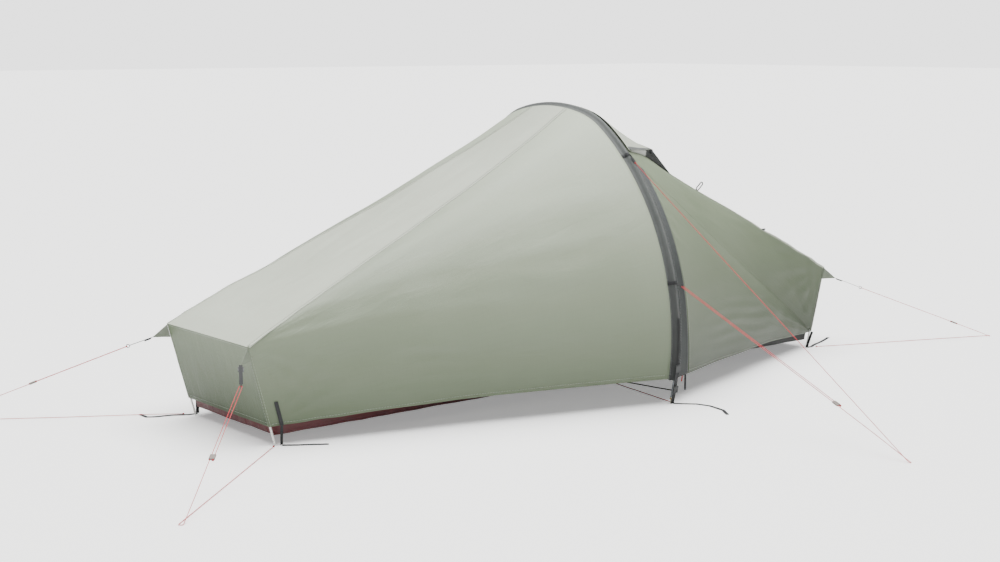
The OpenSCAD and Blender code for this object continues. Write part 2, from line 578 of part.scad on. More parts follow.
// Runner: a plate that both strands pass through, resting on the knot of one of them
function strand_gap(route) = norm(cross(route[5] - route[1], unit(route[1] - route[0])));
module runner(route) color("gray") {
  gap = strand_gap(route);
  up = unit(route[1] - route[0]);
  middle = (route[0] + route[6]) / 2 + up * seam;
  aim(middle, middle + up) linear_extrude(runner_len) difference() {
    union() {
      square([runner_t, runner_w - runner_t], center = true);
      for (side = [-1, 1]) translate([0, side * (runner_w - runner_t) / 2]) circle(d = runner_t);
    }
    for (side = [-1, 1]) translate([0, side * gap / 2]) circle(d = line_d + 2 * runner_gap);
  }
}
module runner_foot_near() runner(guyline_foot_near_route);
module runner_foot_far() runner(guyline_foot_far_route);
module runner_head_near() runner(guyline_head_near_route);
module runner_hoop() runner(guyline_hoop_route);

// Knots at both ends of each guyline
knot_d = 5;
module knot(at, from) translate(at + unit(at - from) * (knot_d / 2 + seam)) sphere(d = knot_d, $fn = 16);
module line_knots() color("red")
  for (r = [guyline_foot_near_route, guyline_foot_far_route, guyline_head_near_route, guyline_hoop_route]) {
    knot(r[0], r[1]);
    knot(r[len(r) - 1], r[len(r) - 2]);
  }

// Corner fittings: a tab on the fly, webbing towards the guyline, a buckle and a ring
tab_h = 40;
tab_reach = [37, 26, -43];
tab_t = 2;
ring_r = 5;
ring_wire = 2.2;
function outer_corner(end, across, z, out = 1) = [end * (edge_x(z) + out), across * (edge_y + out), z];
function tab_tip(end, across) = [end * (edge_x(corner_h) + tab_reach[0]), across * (edge_y + tab_reach[1]), corner_h + tab_reach[2]];
function mirrored(p) = [p[0], -p[1], p[2]];
function corner_route(end, across) =
  end < 0 ? (across < 0 ? guyline_foot_near_route : guyline_foot_far_route)
  : [for (p = guyline_head_near_route) across < 0 ? p : mirrored(p)];
// The ring's far side sits inside the guyline's turn
function turn_of(route) = (route[1] + route[5]) / 2;
function ring_at(route) = turn_of(route) + unit(route[1] - route[0])
  * (ring_r + norm(route[1] - route[5]) / 2 - (line_d + ring_wire) / 2 - seam);
module ring(route) aim(ring_at(route), turn_of(route)) rotate([90, 0, 0])
  rotate_extrude() translate([ring_r, 0]) circle(d = ring_wire);
module slab(pts, t) {
  n = unit(cross(pts[1] - pts[0], pts[2] - pts[0])) * t / 2;
  k = len(pts);
  polyhedron(concat([for (p = pts) p + n], [for (p = pts) p - n]),
    concat([[for (i = [k - 1:-1:0]) i], [for (i = [0:k - 1]) k + i]],
      [for (i = [0:k - 1]) let (j = (i + 1) % k) [i, j, k + j, k + i]]));
}
module corner_tabs() color("darkseagreen") corners()
  slab([outer_corner($end, $across, corner_h - 4, seam), outer_corner($end, $across, corner_h - 4 - tab_h, seam),
    tab_tip($end, $across)], tab_t);
function webbing_end(end, across) =
  let (r = ring_at(corner_route(end, across))) r + unit(tab_tip(end, across) - r) * (ring_r + ring_wire / 2 + seam);
module corner_webbing() color("black") corners() {
  tip = tab_tip($end, $across);
  far = webbing_end($end, $across);
  bar(tip + unit(far - tip) * seam * 2, far, webbing_w * 0.7, webbing_t);
}
buckle_len = 18;
module ladder_buckle(w, t) difference() {
  cube([t, w + 6, buckle_len], center = true);
  cube([t * 2, w + 1, buckle_len / 4], center = true);
  for (side = [-1, 1]) translate([0, 0, side * buckle_len / 3]) cube([t * 2, w + 1, 2.4], center = true);
}
module corner_buckles() color("black") corners() {
  tip = tab_tip($end, $across);
  far = webbing_end($end, $across);
  aim(tip + unit(far - tip) * 16, far) translate([webbing_t / 2 + seam + 1.5, 0, 0]) ladder_buckle(webbing_w * 0.7, 3);
  ring(corner_route($end, $across));
}

// Straps from the fly's corner seams down to the strut feet, and the loose tails on the ground
strap_top_h = 128;
strap_in = 0.028;
strap_w = 11;
function strap_pt(across, z, side = 0) =
  let (v = 1 - sqrt(1 - (z - hem_corner_h) / (corner_h - hem_corner_h)),
    c = side_pt(-1, across, strap_in + side * strap_w / 2 / (foot_x + hoop_x), v))
  c + [0, across * (webbing_t / 2 + 2 * seam), 0];
function strap_foot(end, across) = [end * (foot_x - 14), across * (half_w + 13), 2.2];
module hem_corner_straps() color("black") {
  for (across = [-1, 1])
    slab([strap_pt(across, hem_corner_h, -1), strap_pt(across, hem_corner_h, 1),
      strap_pt(across, strap_top_h, 1), strap_pt(across, strap_top_h, -1)], webbing_t);
  corners() {
    top = $end < 0 ? strap_pt($across, hem_corner_h) - [0, 0, seam] : outer_corner($end, $across, hem_corner_h - 0.6, seam) + [0, $across * 4, 0];
    bar(top, strap_foot($end, $across), webbing_w * 0.7, webbing_t);
  }
  ground_tail([[-1165, -256], [-1130, -281], [-1090, -305], [-1053, -330]]);
  ground_tail([[-1167, 253], [-1196, 256], [-1240, 282], [-1290, 295], [-1314, 310], [-1313, 356]]);
  ground_tail([[1167, -253], [1192, -254], [1240, -232], [1301, -212], [1350, -192], [1394, -172]]);
  ground_tail([[1167, 253], [1192, 254], [1250, 236], [1320, 214], [1385, 196]]);
}
// Loose strap lying on the ground along a few points
function normal_at(pts, i) =
  let (d = unit(pts[min(i + 1, len(pts) - 1)] - pts[max(i - 1, 0)])) [-d[1], d[0]];
module ground_tail(pts) {
  half = webbing_w * 0.35;
  translate([0, 0, seam]) linear_extrude(webbing_t)
    polygon(concat([for (i = [0:len(pts) - 1]) pts[i] + normal_at(pts, i) * half],
      [for (i = [len(pts) - 1:-1:0]) pts[i] - normal_at(pts, i) * half]));
}

// Straps that go round the sleeve for the hoop's guyline, on both sides
upper_strap = [[98, -385.7, 785.6], [99, -401, 771.4]];
lower_strap = [[97, -598.5, 391], [104, -610.5, 390]];
module sleeve_band(z) {
  a = arc_angle(leg_r, strap_w / 2);
  round_leg(leg_angle(z) - a, leg_angle(z) + a) translate([leg_r, 0]) intersection() {
    difference() {
      polygon(sleeve_outline(flange + sleeve_t / 2, 2 * seam + webbing_t));
      polygon(sleeve_outline(flange, 2 * seam));
    }
    square([3 * leg_r, sleeve_w], center = true);
  }
}
module hoop_guy_straps() color("black") both_sides() {
  sleeve_band(upper_strap[0][2] + 6);
  sleeve_band(lower_strap[0][2] + 4);
  bar(upper_strap[0], upper_strap[1], strap_w, webbing_t);
  bar(lower_strap[0], lower_strap[1], strap_w, webbing_t);
  ring(guyline_hoop_route);
}

// At the foot of the hoop: a tension strap with its buckle, a grommet for the tip and a tie to the floor
strap_off = sleeve_top + seam;
loop_cord_d = 2.5;
module hoop_foot_straps() color("black") {
  both_sides() {
    round_leg(leg_angle(138), leg_angle(2)) translate([leg_r + strap_off, -webbing_w / 2]) square([webbing_t, webbing_w]);
    for (side = [-1, 1]) round_leg(leg_angle(283), leg_angle(139))
      translate([leg_r + strap_off + loop_cord_d / 2, side * loop_cord_d]) circle(d = loop_cord_d);
  }
  ground_tail([[98, -595], [118, -618], [150, -650], [164, -693], [153, -762], [120, -811]]);
  ground_tail([[98, 595], [116, 622], [140, 660], [150, 720]]);
}
module hoop_foot_buckles() color("black") both_sides()
  for (z = [[132, 108], [62, 40]])
    round_leg(leg_angle(z[0]), leg_angle(z[1]))
      translate([leg_r + strap_off + webbing_t + seam, -webbing_w / 2 - 3]) square([4, webbing_w + 6]);
module pole_grommets() color("goldenrod") both_sides() at_tip() translate([0, 0, seam + tip_collar_t + 2])
  difference() {
    cylinder(d = tip_collar_d + 2, h = 2);
    translate([0, 0, -1]) cylinder(d = tip_pin_d + 1, h = 4);
  }
tie_h = 44;
module floor_ties() color("black") for (across = [-1, 1]) {
  leg_y = -hoop(s_at(tie_h), 0)[0] - pole_d / 2 - seam * 2;
  floor_y = (across < 0 ? -near_edge : floor_far) + seam;
  bar([hoop_x, across * leg_y, tie_h], [hoop_x, across * floor_y, floor_lift], webbing_w * 0.7, webbing_t);
  rod_x = hoop_x + (tip_pin_d + line_d + 1) / 2 + seam;
  rod([rod_x, across * -hoop(s_at(3), 0)[0], 3], [rod_x, across * (floor_y + 1), floor_lift - 3], line_d + 1);
}

// Loops: one on the roof seam, a toggle further down it, and one at the door's hem
loop_at = 0.545;
toggle_at = 0.27;
loop_wire = 2.6;
module long_loop(r, len) rotate([90, 0, 0]) {
  for (side = [0, 1]) mirror([0, side, 0]) translate([0, len / 2, 0])
    rotate_extrude(angle = 180) translate([r, 0]) circle(d = loop_wire);
  for (side = [-1, 1]) translate([side * r, 0, 0]) rotate([90, 0, 0]) cylinder(d = loop_wire, h = len, center = true);
}
module small_loops() color("black") {
  translate(roof_pt(1, loop_at, -1) + [13, -3, 13.5]) rotate([0, 50, 0]) long_loop(6, 26);
  translate(roof_pt(1, toggle_at, -1) + [-7, -3, 2]) rotate([0, 90, 0]) cylinder(d = 5, h = 14);
  hem = door_pt(s_hem, flap_edge(s_hem));
  translate(hem + [-9, 0, -(18 + 8 + loop_wire / 2)]) rotate([0, 0, 35]) long_loop(8, 36);
}

pole_leg_near();
pole_crown();
pole_leg_far();
pole_ferrules();
pole_tips();
shock_cord();
sleeve_near();
sleeve_crown();
sleeve_far();
corner_struts();
roof_foot();
side_foot_near();
side_foot_far();
end_foot();
roof_head();
side_head_upper();
side_head_far();
end_head();
door();
door_zip_tape();
zip_flap();
zip_coil();
zip_slider();
zip_puller();
vent_hood();
vent_stiffener();
vent_gussets();
vent_front_mesh();
vent_window_mesh();
groundsheet();
tub_side_walls();
tub_end_walls();
inner_side_foot_near();
inner_side_foot_far();
inner_roof_foot();
inner_side_head_upper();
inner_side_head_far();
inner_roof_head();
inner_ends();
inner_door();
inner_hangers();
corner_tabs();
corner_webbing();
corner_buckles();
hem_corner_straps();
hoop_guy_straps();
hoop_foot_straps();
hoop_foot_buckles();
pole_grommets();
floor_ties();
small_loops();
line_knots();
guyline_foot_near();
guyline_foot_far();
guyline_head_near();
guyline_hoop();
runner_foot_near();
runner_foot_far();
runner_head_near();
runner_hoop();
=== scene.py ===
import math

import bmesh
import bpy
import numpy as np
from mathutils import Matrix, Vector, noise


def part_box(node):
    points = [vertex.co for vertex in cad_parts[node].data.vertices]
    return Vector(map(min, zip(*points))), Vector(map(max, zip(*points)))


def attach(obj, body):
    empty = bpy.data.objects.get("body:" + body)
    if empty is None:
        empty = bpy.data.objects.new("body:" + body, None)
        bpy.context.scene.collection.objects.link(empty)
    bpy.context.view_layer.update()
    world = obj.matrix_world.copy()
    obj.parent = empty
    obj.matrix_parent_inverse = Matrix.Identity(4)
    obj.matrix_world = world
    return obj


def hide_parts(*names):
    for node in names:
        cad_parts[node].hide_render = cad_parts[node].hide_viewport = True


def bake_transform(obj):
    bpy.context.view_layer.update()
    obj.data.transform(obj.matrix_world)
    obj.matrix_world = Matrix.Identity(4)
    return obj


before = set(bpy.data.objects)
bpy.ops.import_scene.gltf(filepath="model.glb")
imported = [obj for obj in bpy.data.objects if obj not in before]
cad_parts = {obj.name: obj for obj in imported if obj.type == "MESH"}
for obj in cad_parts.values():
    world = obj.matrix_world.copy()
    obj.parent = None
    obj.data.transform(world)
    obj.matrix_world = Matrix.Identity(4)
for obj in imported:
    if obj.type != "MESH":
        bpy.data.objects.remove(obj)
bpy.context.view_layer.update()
mm = 0.001
print("frame loaded")

# Camera: beside the foot end at eye height, looking along the tent towards its door
view = {"place": (-3.4511, -4.0769, 1.1566), "tilt": 81.315, "turn": -39.055, "lens": 56.16}
cameraData = bpy.data.cameras.new("camera")
cameraData.lens = view["lens"]
cameraData.sensor_width = 36
cameraData.clip_end = 200
camera = bpy.data.objects.new("camera", cameraData)
camera.location = view["place"]
camera.rotation_euler = (math.radians(view["tilt"]), 0, math.radians(view["turn"]))
bpy.context.scene.collection.objects.link(camera)
bpy.context.scene.camera = camera


def hexColour(value):
    # sRGB hex to the linear colour that a shader expects
    parts = [int(value[i:i + 2], 16) / 255 for i in (0, 2, 4)]
    return tuple(c / 12.92 if c <= 0.04045 else ((c + 0.055) / 1.055) ** 2.4 for c in parts) + (1.0,)


def addNode(tree, kind, links=None, **settings):
    # One node with its settings; links gives a value or a socket for each input
    node = tree.nodes.new(kind)
    for name, value in settings.items():
        setattr(node, name, value)
    for key, value in (links or {}).items():
        if isinstance(value, bpy.types.NodeSocket):
            tree.links.new(value, node.inputs[key])
        else:
            node.inputs[key].default_value = value
    return node


def newMaterial(name, finish):
    material = bpy.data.materials.new(name)
    material.use_nodes = True
    tree = material.node_tree
    tree.nodes.clear()
    shader = addNode(tree, "ShaderNodeBsdfPrincipled")
    for key, value in finish.items():
        shader.inputs[key].default_value = value
    addNode(tree, "ShaderNodeOutputMaterial", {"Surface": shader.outputs[0]})
    return material, tree, shader


def bandScale(pitch):
    # A wave texture repeats every pi / 10 at scale 1
    return math.pi / 10 / (pitch * mm)


def wovenMaterial(name, colour, worn, thread, look, finish):
    # Cloth: threads both ways, ripstop lines, broad variation of colour, soft creases
    material, tree, shader = newMaterial(name, finish)
    where = addNode(tree, "ShaderNodeTexCoord")
    flat = where.outputs["UV" if look.get("uv", True) else "Object"]
    solid = where.outputs["Object"]
    broad = addNode(tree, "ShaderNodeTexNoise", {"Vector": solid, "Scale": 1000 / look["blotch"],
                                                 "Detail": 4.0})
    fade = addNode(tree, "ShaderNodeMapRange", {"Value": broad.outputs[0], "From Min": 0.35,
                                                "From Max": 0.68})
    tone = addNode(tree, "ShaderNodeMix", data_type="RGBA")
    tree.links.new(fade.outputs[0], tone.inputs[0])
    tone.inputs[6].default_value = hexColour(colour)
    tone.inputs[7].default_value = hexColour(worn)
    warp = addNode(tree, "ShaderNodeTexWave", {"Vector": flat, "Scale": bandScale(thread)},
                   bands_direction="X")
    weft = addNode(tree, "ShaderNodeTexWave", {"Vector": flat, "Scale": bandScale(thread)},
                   bands_direction="Y")
    weave = addNode(tree, "ShaderNodeMath", {0: warp.outputs[1], 1: weft.outputs[1]}, operation="MULTIPLY")
    grain = addNode(tree, "ShaderNodeMapRange", {"Value": weave.outputs[0], "To Min": 1 - look["threadTone"],
                                                 "To Max": 1.0})
    shade = grain.outputs[0]
    if look.get("ripstop"):
        split = addNode(tree, "ShaderNodeSeparateXYZ", {0: flat})
        for axis in (0, 1):
            step = addNode(tree, "ShaderNodeMath", {0: split.outputs[axis], 1: look["ripstop"] * mm},
                           operation="PINGPONG")
            line = addNode(tree, "ShaderNodeMapRange", {"Value": step.outputs[0], "From Min": 0.0,
                                                        "From Max": look["lineWidth"] * mm,
                                                        "To Min": 1 - look["lineTone"], "To Max": 1.0})
            shade = addNode(tree, "ShaderNodeMath", {0: shade, 1: line.outputs[0]},
                            operation="MULTIPLY").outputs[0]
    cloth = tone.outputs[2]
    if look.get("paintedShadeTone"):
        # Painted shade: the colour is mixed towards a darker tone lower down, standing in for the lower cloth
        # getting less light
        height = addNode(tree, "ShaderNodeSeparateXYZ", {0: solid})
        low = addNode(tree, "ShaderNodeMapRange", {"Value": height.outputs[2], "From Min": look["paintedShadeFrom"],
                                                   "From Max": look["paintedShadeTo"]})
        paintedShadeMix = addNode(tree, "ShaderNodeMix", data_type="RGBA")
        tree.links.new(low.outputs[0], paintedShadeMix.inputs[0])
        paintedShadeMix.inputs[6].default_value = hexColour(look["paintedShadeTone"])
        tree.links.new(cloth, paintedShadeMix.inputs[7])
        cloth = paintedShadeMix.outputs[2]
    base = addNode(tree, "ShaderNodeVectorMath", {0: cloth}, operation="SCALE")
    tree.links.new(shade, base.inputs["Scale"])
    tree.links.new(base.outputs[0], shader.inputs["Base Color"])
    stretch = addNode(tree, "ShaderNodeMapping",
                      {"Vector": flat, "Scale": look.get("creaseScale", (6.0, 22.0, 1.0))})
    crease = addNode(tree, "ShaderNodeTexNoise", {"Vector": stretch.outputs[0], "Scale": 1.0, "Detail": 3.0,
                                                  "Distortion": 0.6})
    soft = addNode(tree, "ShaderNodeBump", {"Height": crease.outputs[0], "Strength": look["crease"],
                                            "Distance": 0.01})
    fine = addNode(tree, "ShaderNodeBump", {"Height": weave.outputs[0], "Strength": look["threadBump"],
                                            "Distance": 0.0004, "Normal": soft.outputs[0]})
    tree.links.new(fine.outputs[0], shader.inputs["Normal"])
    rub = addNode(tree, "ShaderNodeMapRange", {"Value": broad.outputs[0], "To Min": look["rough"] - 0.06,
                                               "To Max": look["rough"] + 0.08})
    tree.links.new(rub.outputs[0], shader.inputs["Roughness"])
    if look.get("holes"):
        # Net: round holes between the threads let what is behind show
        gapX = addNode(tree, "ShaderNodeTexWave", {"Vector": flat, "Scale": bandScale(look["holes"])},
                       bands_direction="X")
        gapY = addNode(tree, "ShaderNodeTexWave", {"Vector": flat, "Scale": bandScale(look["holes"])},
                       bands_direction="Y")
        hole = addNode(tree, "ShaderNodeMath", {0: gapX.outputs[1], 1: gapY.outputs[1]}, operation="MULTIPLY")
        solidPart = addNode(tree, "ShaderNodeMath", {0: hole.outputs[0], 1: look["holeShare"]},
                            operation="LESS_THAN")
        tree.links.new(solidPart.outputs[0], shader.inputs["Alpha"])
    return material


def smoothMaterial(name, colour, worn, look, finish):
    # Metal, moulded plastic or rod: grain along or across, small changes of tone and polish
    material, tree, shader = newMaterial(name, finish)
    where = addNode(tree, "ShaderNodeTexCoord")
    stretch = addNode(tree, "ShaderNodeMapping", {"Vector": where.outputs["Object"], "Scale": look["grain"]})
    grain = addNode(tree, "ShaderNodeTexNoise", {"Vector": stretch.outputs[0], "Scale": 1.0, "Detail": 4.0})
    tone = addNode(tree, "ShaderNodeMix", data_type="RGBA")
    tree.links.new(grain.outputs[0], tone.inputs[0])
    tone.inputs[6].default_value = hexColour(colour)
    tone.inputs[7].default_value = hexColour(worn)
    tree.links.new(tone.outputs[2], shader.inputs["Base Color"])
    rub = addNode(tree, "ShaderNodeMapRange", {"Value": grain.outputs[0], "To Min": look["rough"] - 0.07,
                                               "To Max": look["rough"] + 0.1})
    tree.links.new(rub.outputs[0], shader.inputs["Roughness"])
    bump = addNode(tree, "ShaderNodeBump", {"Height": grain.outputs[0], "Strength": look["bump"],
                                            "Distance": 0.0003})
    tree.links.new(bump.outputs[0], shader.inputs["Normal"])
    return material


def braidMaterial(name, colour, tracer, look, finish):
    # Braided cord: strands cross both ways, a lighter tracer thread runs through them
    material, tree, shader = newMaterial(name, finish)
    where = addNode(tree, "ShaderNodeTexCoord")
    turned = []
    for lean in (look["lean"], -look["lean"]):
        turn = addNode(tree, "ShaderNodeMapping", {"Vector": where.outputs["UV"], "Rotation": (0, 0, lean)})
        turned.append(addNode(tree, "ShaderNodeTexWave", {"Vector": turn.outputs[0],
                                                          "Scale": bandScale(look["strand"])}))
    braid = addNode(tree, "ShaderNodeMath", {0: turned[0].outputs[1], 1: turned[1].outputs[1]},
                    operation="MAXIMUM")
    fleck = addNode(tree, "ShaderNodeMath", {0: turned[0].outputs[1], 1: look["tracerShare"]},
                    operation="GREATER_THAN")
    tone = addNode(tree, "ShaderNodeMix", data_type="RGBA")
    tree.links.new(fleck.outputs[0], tone.inputs[0])
    tone.inputs[6].default_value = hexColour(colour)
    tone.inputs[7].default_value = hexColour(tracer)
    # Painted shade: the grooves between strands are darkened
    depth = addNode(tree, "ShaderNodeMapRange", {"Value": braid.outputs[0], "To Min": 0.62, "To Max": 1.0})
    base = addNode(tree, "ShaderNodeVectorMath", {0: tone.outputs[2]}, operation="SCALE")
    tree.links.new(depth.outputs[0], base.inputs["Scale"])
    tree.links.new(base.outputs[0], shader.inputs["Base Color"])
    bump = addNode(tree, "ShaderNodeBump", {"Height": braid.outputs[0], "Strength": 0.6, "Distance": 0.0004})
    tree.links.new(bump.outputs[0], shader.inputs["Normal"])
    return material


# Siliconised ripstop nylon: thin, taut, a slight gloss from the coating. The real grid is 5 mm; drawn at 10
flyLook = {"blotch": 420, "threadTone": 0.05, "threadBump": 0.25, "crease": 0.22, "rough": 0.46,
           "ripstop": 10, "lineWidth": 0.7, "lineTone": 0.05}
# Painted shade: the sides use a slightly darker copy of the fly cloth, darker still towards the ground
sideLook = dict(flyLook, paintedShadeTone="364626", paintedShadeFrom=-0.05, paintedShadeTo=0.92)
flyNylon = wovenMaterial("siliconisedRipstopNylon", "b1b7a6", "b9bfaf", 1.2, flyLook,
                         {"Specular IOR Level": 0.42, "Sheen Weight": 0.12})
shadedSideNylon = wovenMaterial("siliconisedRipstopNylonPaintedShadeSide", "a8b19c", "b0b9a5", 1.2, sideLook,
                          {"Specular IOR Level": 0.42, "Sheen Weight": 0.12})
# Painted shade: the end panels use a much darker copy of the fly cloth, darker still low down
shadedEndNylon = wovenMaterial("siliconisedRipstopNylonPaintedShadeEnd", "66725a", "6e7a62", 1.2,
                         dict(sideLook, paintedShadeTone="3c4a30", paintedShadeFrom=0.05, paintedShadeTo=0.34),
                         {"Specular IOR Level": 0.3, "Sheen Weight": 0.03})
# Painted shade: the door and the strip over its fold use a darker copy of the fly cloth, near black-green low
# down
shadedDoorNylon = wovenMaterial("siliconisedRipstopNylonPaintedShadeDoor", "7d8970", "869179", 1.2,
                          dict(sideLook, paintedShadeTone="14200a", paintedShadeTo=0.8),
                          {"Specular IOR Level": 0.3, "Sheen Weight": 0.03})
# Heavier plain polyester over the pole: matt grey, threads just visible. Its colour darkens towards the
# sleeve's lower ends, which is painted shade
sleevePolyester = wovenMaterial("plainWeavePolyester", "565a58", "5f6361", 1.6,
                                {"blotch": 160, "threadTone": 0.16, "threadBump": 0.6, "crease": 0.2,
                                 "rough": 0.62,
                                 "paintedShadeTone": "242726", "paintedShadeFrom": 0.1, "paintedShadeTo": 0.95},
                                 {"Specular IOR Level": 0.35, "Sheen Weight": 0.15})
# Zip flap polyester: its colour darkens towards the flap's lower part, which is painted shade
flapPolyester = wovenMaterial("plainWeavePolyesterFlap", "4b4e4e", "555858", 1.6,
                              {"blotch": 140, "threadTone": 0.12, "threadBump": 0.5, "crease": 0.3,
                               "rough": 0.6,
                               "paintedShadeTone": "2c302f", "paintedShadeFrom": 0.42, "paintedShadeTo": 0.66},
                               {"Specular IOR Level": 0.22, "Sheen Weight": 0.02})
gussetNylon = wovenMaterial("uncoatedNylonTaffeta", "8a8c86", "94968f", 1.2,
                            {"blotch": 120, "threadTone": 0.08, "threadBump": 0.35, "crease": 0.3,
                             "rough": 0.6},
                            {"Specular IOR Level": 0.35, "Sheen Weight": 0.2})
# Knitted polyester insect net: fine holes, drawn at 3 mm
ventNet = wovenMaterial("knittedInsectNet", "2b2d2c", "353735", 1.5,
                        {"blotch": 60, "threadTone": 0.3, "threadBump": 0.6, "crease": 0.2, "rough": 0.75,
                         "holes": 3.0, "holeShare": 0.55}, {"Specular IOR Level": 0.3})
# Polyurethane-coated floor nylon: deep red, smoother and glossier than the fly
floorNylon = wovenMaterial("coatedFloorNylon", "4c0b12", "5a1118", 1.2,
                           {"blotch": 180, "threadTone": 0.1, "threadBump": 0.3, "crease": 0.6, "rough": 0.42,
                            "ripstop": 10, "lineWidth": 0.8, "lineTone": 0.08},
                           {"Specular IOR Level": 0.5})
# Painted shade: a near-black copy of the red floor cloth for the head half
shadedFloorNylon = wovenMaterial("coatedFloorNylonPaintedShade", "141612", "1c1e1a", 1.2,
                               {"blotch": 180, "threadTone": 0.1, "threadBump": 0.3, "crease": 0.6,
                                "rough": 0.42,
                                "ripstop": 10, "lineWidth": 0.8, "lineTone": 0.08},
                               {"Specular IOR Level": 0.5})
innerNylon = wovenMaterial("breathableInnerNylon", "c4c5bd", "cfcfc8", 1.2,
                           {"blotch": 260, "threadTone": 0.06, "threadBump": 0.3, "crease": 0.5, "rough": 0.6,
                            "ripstop": 10, "lineWidth": 0.7, "lineTone": 0.05}, {"Specular IOR Level": 0.35})
# Nylon webbing: dense ribs across, dull black with a greyed surface
blackWebbing = wovenMaterial("nylonWebbing", "1b1d1f", "26282a", 1.8,
                             {"uv": False, "blotch": 40, "threadTone": 0.45, "threadBump": 1.0, "crease": 0.1,
                              "rough": 0.6, "creaseScale": (60.0, 60.0, 60.0)}, {"Specular IOR Level": 0.4})
tabNylon = wovenMaterial("doubledCornerNylon", "6f7768", "7a8172", 1.4,
                         {"uv": False, "blotch": 60, "threadTone": 0.14, "threadBump": 0.6, "crease": 0.3,
                          "rough": 0.55, "creaseScale": (40.0, 40.0, 40.0)}, {"Specular IOR Level": 0.4})
zipCloth = wovenMaterial("zipTapePolyester", "2f3130", "3a3c3a", 1.4,
                         {"blotch": 40, "threadTone": 0.25, "threadBump": 0.8, "crease": 0.1, "rough": 0.65},
                         {"Specular IOR Level": 0.35})
sewingThread = smoothMaterial("bondedNylonThread", "7f8679", "8f968a",
                              {"grain": (900.0, 900.0, 900.0), "rough": 0.5, "bump": 0.3},
                              {"Specular IOR Level": 0.45, "Sheen Weight": 0.2})
greyThread = smoothMaterial("bondedNylonThreadGrey", "5d605e", "6c6f6c",
                            {"grain": (900.0, 900.0, 900.0), "rough": 0.5, "bump": 0.3},
                            {"Specular IOR Level": 0.45, "Sheen Weight": 0.2})
# Drawn and anodised tube: satin, faint lines along it
poleAlloy = smoothMaterial("anodisedAluminium", "6f7479", "84898d",
                           {"grain": (300.0, 300.0, 60.0), "rough": 0.34, "bump": 0.15}, {"Metallic": 1.0})
ferruleAlloy = smoothMaterial("brightDrawnAluminium", "b4b8bb", "c6c9cb",
                              {"grain": (400.0, 400.0, 80.0), "rough": 0.26, "bump": 0.12}, {"Metallic": 1.0})
tipAlloy = smoothMaterial("turnedAluminium", "c3bfae", "d4d0c0",
                          {"grain": (90.0, 90.0, 1200.0), "rough": 0.3, "bump": 0.3}, {"Metallic": 1.0})
grommetBrass = smoothMaterial("pressedBrass", "a8843f", "c29c55",
                              {"grain": (240.0, 240.0, 240.0), "rough": 0.3, "bump": 0.2}, {"Metallic": 1.0})
sliderZinc = smoothMaterial("paintedDieCastZinc", "2c2e2f", "3c3e3f",
                            {"grain": (300.0, 300.0, 300.0), "rough": 0.38, "bump": 0.25}, {"Metallic": 0.6})
# Pultruded rod: off-white with long fibres
whiteFibreglass = smoothMaterial("pultrudedFibreglass", "dedfd9", "ecece7",
                                 {"grain": (500.0, 500.0, 20.0), "rough": 0.4, "bump": 0.3},
                                 {"Specular IOR Level": 0.5, "Coat Weight": 0.2})
blackAcetal = smoothMaterial("mouldedAcetal", "141617", "1f2122",
                             {"grain": (220.0, 220.0, 220.0), "rough": 0.42, "bump": 0.35},
                             {"Specular IOR Level": 0.5})
runnerAcetal = smoothMaterial("mouldedAcetalGrey", "6d655f", "7e756e",
                              {"grain": (260.0, 260.0, 260.0), "rough": 0.45, "bump": 0.3},
                              {"Specular IOR Level": 0.5})
# Braided polyester cord: bright red with a pale tracer, 2 mm; strands drawn at 2.4 mm along it
redCord = braidMaterial("braidedPolyesterCord", "b80012", "dc2030",
                        {"lean": 0.7, "strand": 2.4, "tracerShare": 0.9}, {"Roughness": 0.6,
                                "Sheen Weight": 0.2})
blackCord = smoothMaterial("braidedBlackCord", "18191a", "2a2c2d",
                           {"grain": (700.0, 700.0, 700.0), "rough": 0.65, "bump": 1.0},
                           {"Specular IOR Level": 0.35})
elasticCord = smoothMaterial("coveredElasticCord", "8e2930", "b44a50",
                             {"grain": (900.0, 900.0, 900.0), "rough": 0.65, "bump": 0.8},
                             {"Specular IOR Level": 0.35})
print("materials made")


def newPiece(name, points, faces, material, uvs=None, smooth=True):
    # points in millimetres; uvs, one for each point, in metres
    mesh = bpy.data.meshes.new(name)
    mesh.from_pydata([tuple(c * mm for c in p) for p in points], [], faces)
    if uvs is not None:
        layer = mesh.uv_layers.new(name="UVMap")
        for loop in mesh.loops:
            layer.data[loop.index].uv = uvs[loop.vertex_index]
    mesh.materials.append(material)
    for face in mesh.polygons:
        face.use_smooth = smooth
    piece = bpy.data.objects.new(name, mesh)
    bpy.context.scene.collection.objects.link(piece)
    return piece


def arcPath(points, smoothing):
    # Points of a smooth line through the given ones, closer together where they are close
    pts = [np.array(p, float) for p in points]
    pts = [2 * pts[0] - pts[1]] + pts + [2 * pts[-1] - pts[-2]]
    line = []
    for i in range(1, len(pts) - 2):
        a, b, c, d = pts[i - 1:i + 3]
        knots = [0]
        for p, q in ((a, b), (b, c), (c, d)):
            knots.append(knots[-1] + np.linalg.norm(q - p) ** 0.5)
        t0, t1, t2, t3 = knots
        if np.linalg.norm(c - b) > 60:
            # Under tension a long stretch is straight
            line += [b + (c - b) * k / (2 * smoothing) for k in range(2 * smoothing)]
            continue
        for k in range(smoothing):
            t = t1 + (t2 - t1) * k / smoothing
            u = (a * (t1 - t) + b * (t - t0)) / (t1 - t0)
            v = (b * (t2 - t) + c * (t - t1)) / (t2 - t1)
            w = (c * (t3 - t) + d * (t - t2)) / (t3 - t2)
            x = (u * (t2 - t) + v * (t - t0)) / (t2 - t0)
            y = (v * (t3 - t) + w * (t - t1)) / (t3 - t1)
            line.append((x * (t2 - t) + y * (t - t1)) / (t2 - t1))
    line.append(pts[-2])
    return np.array(line)


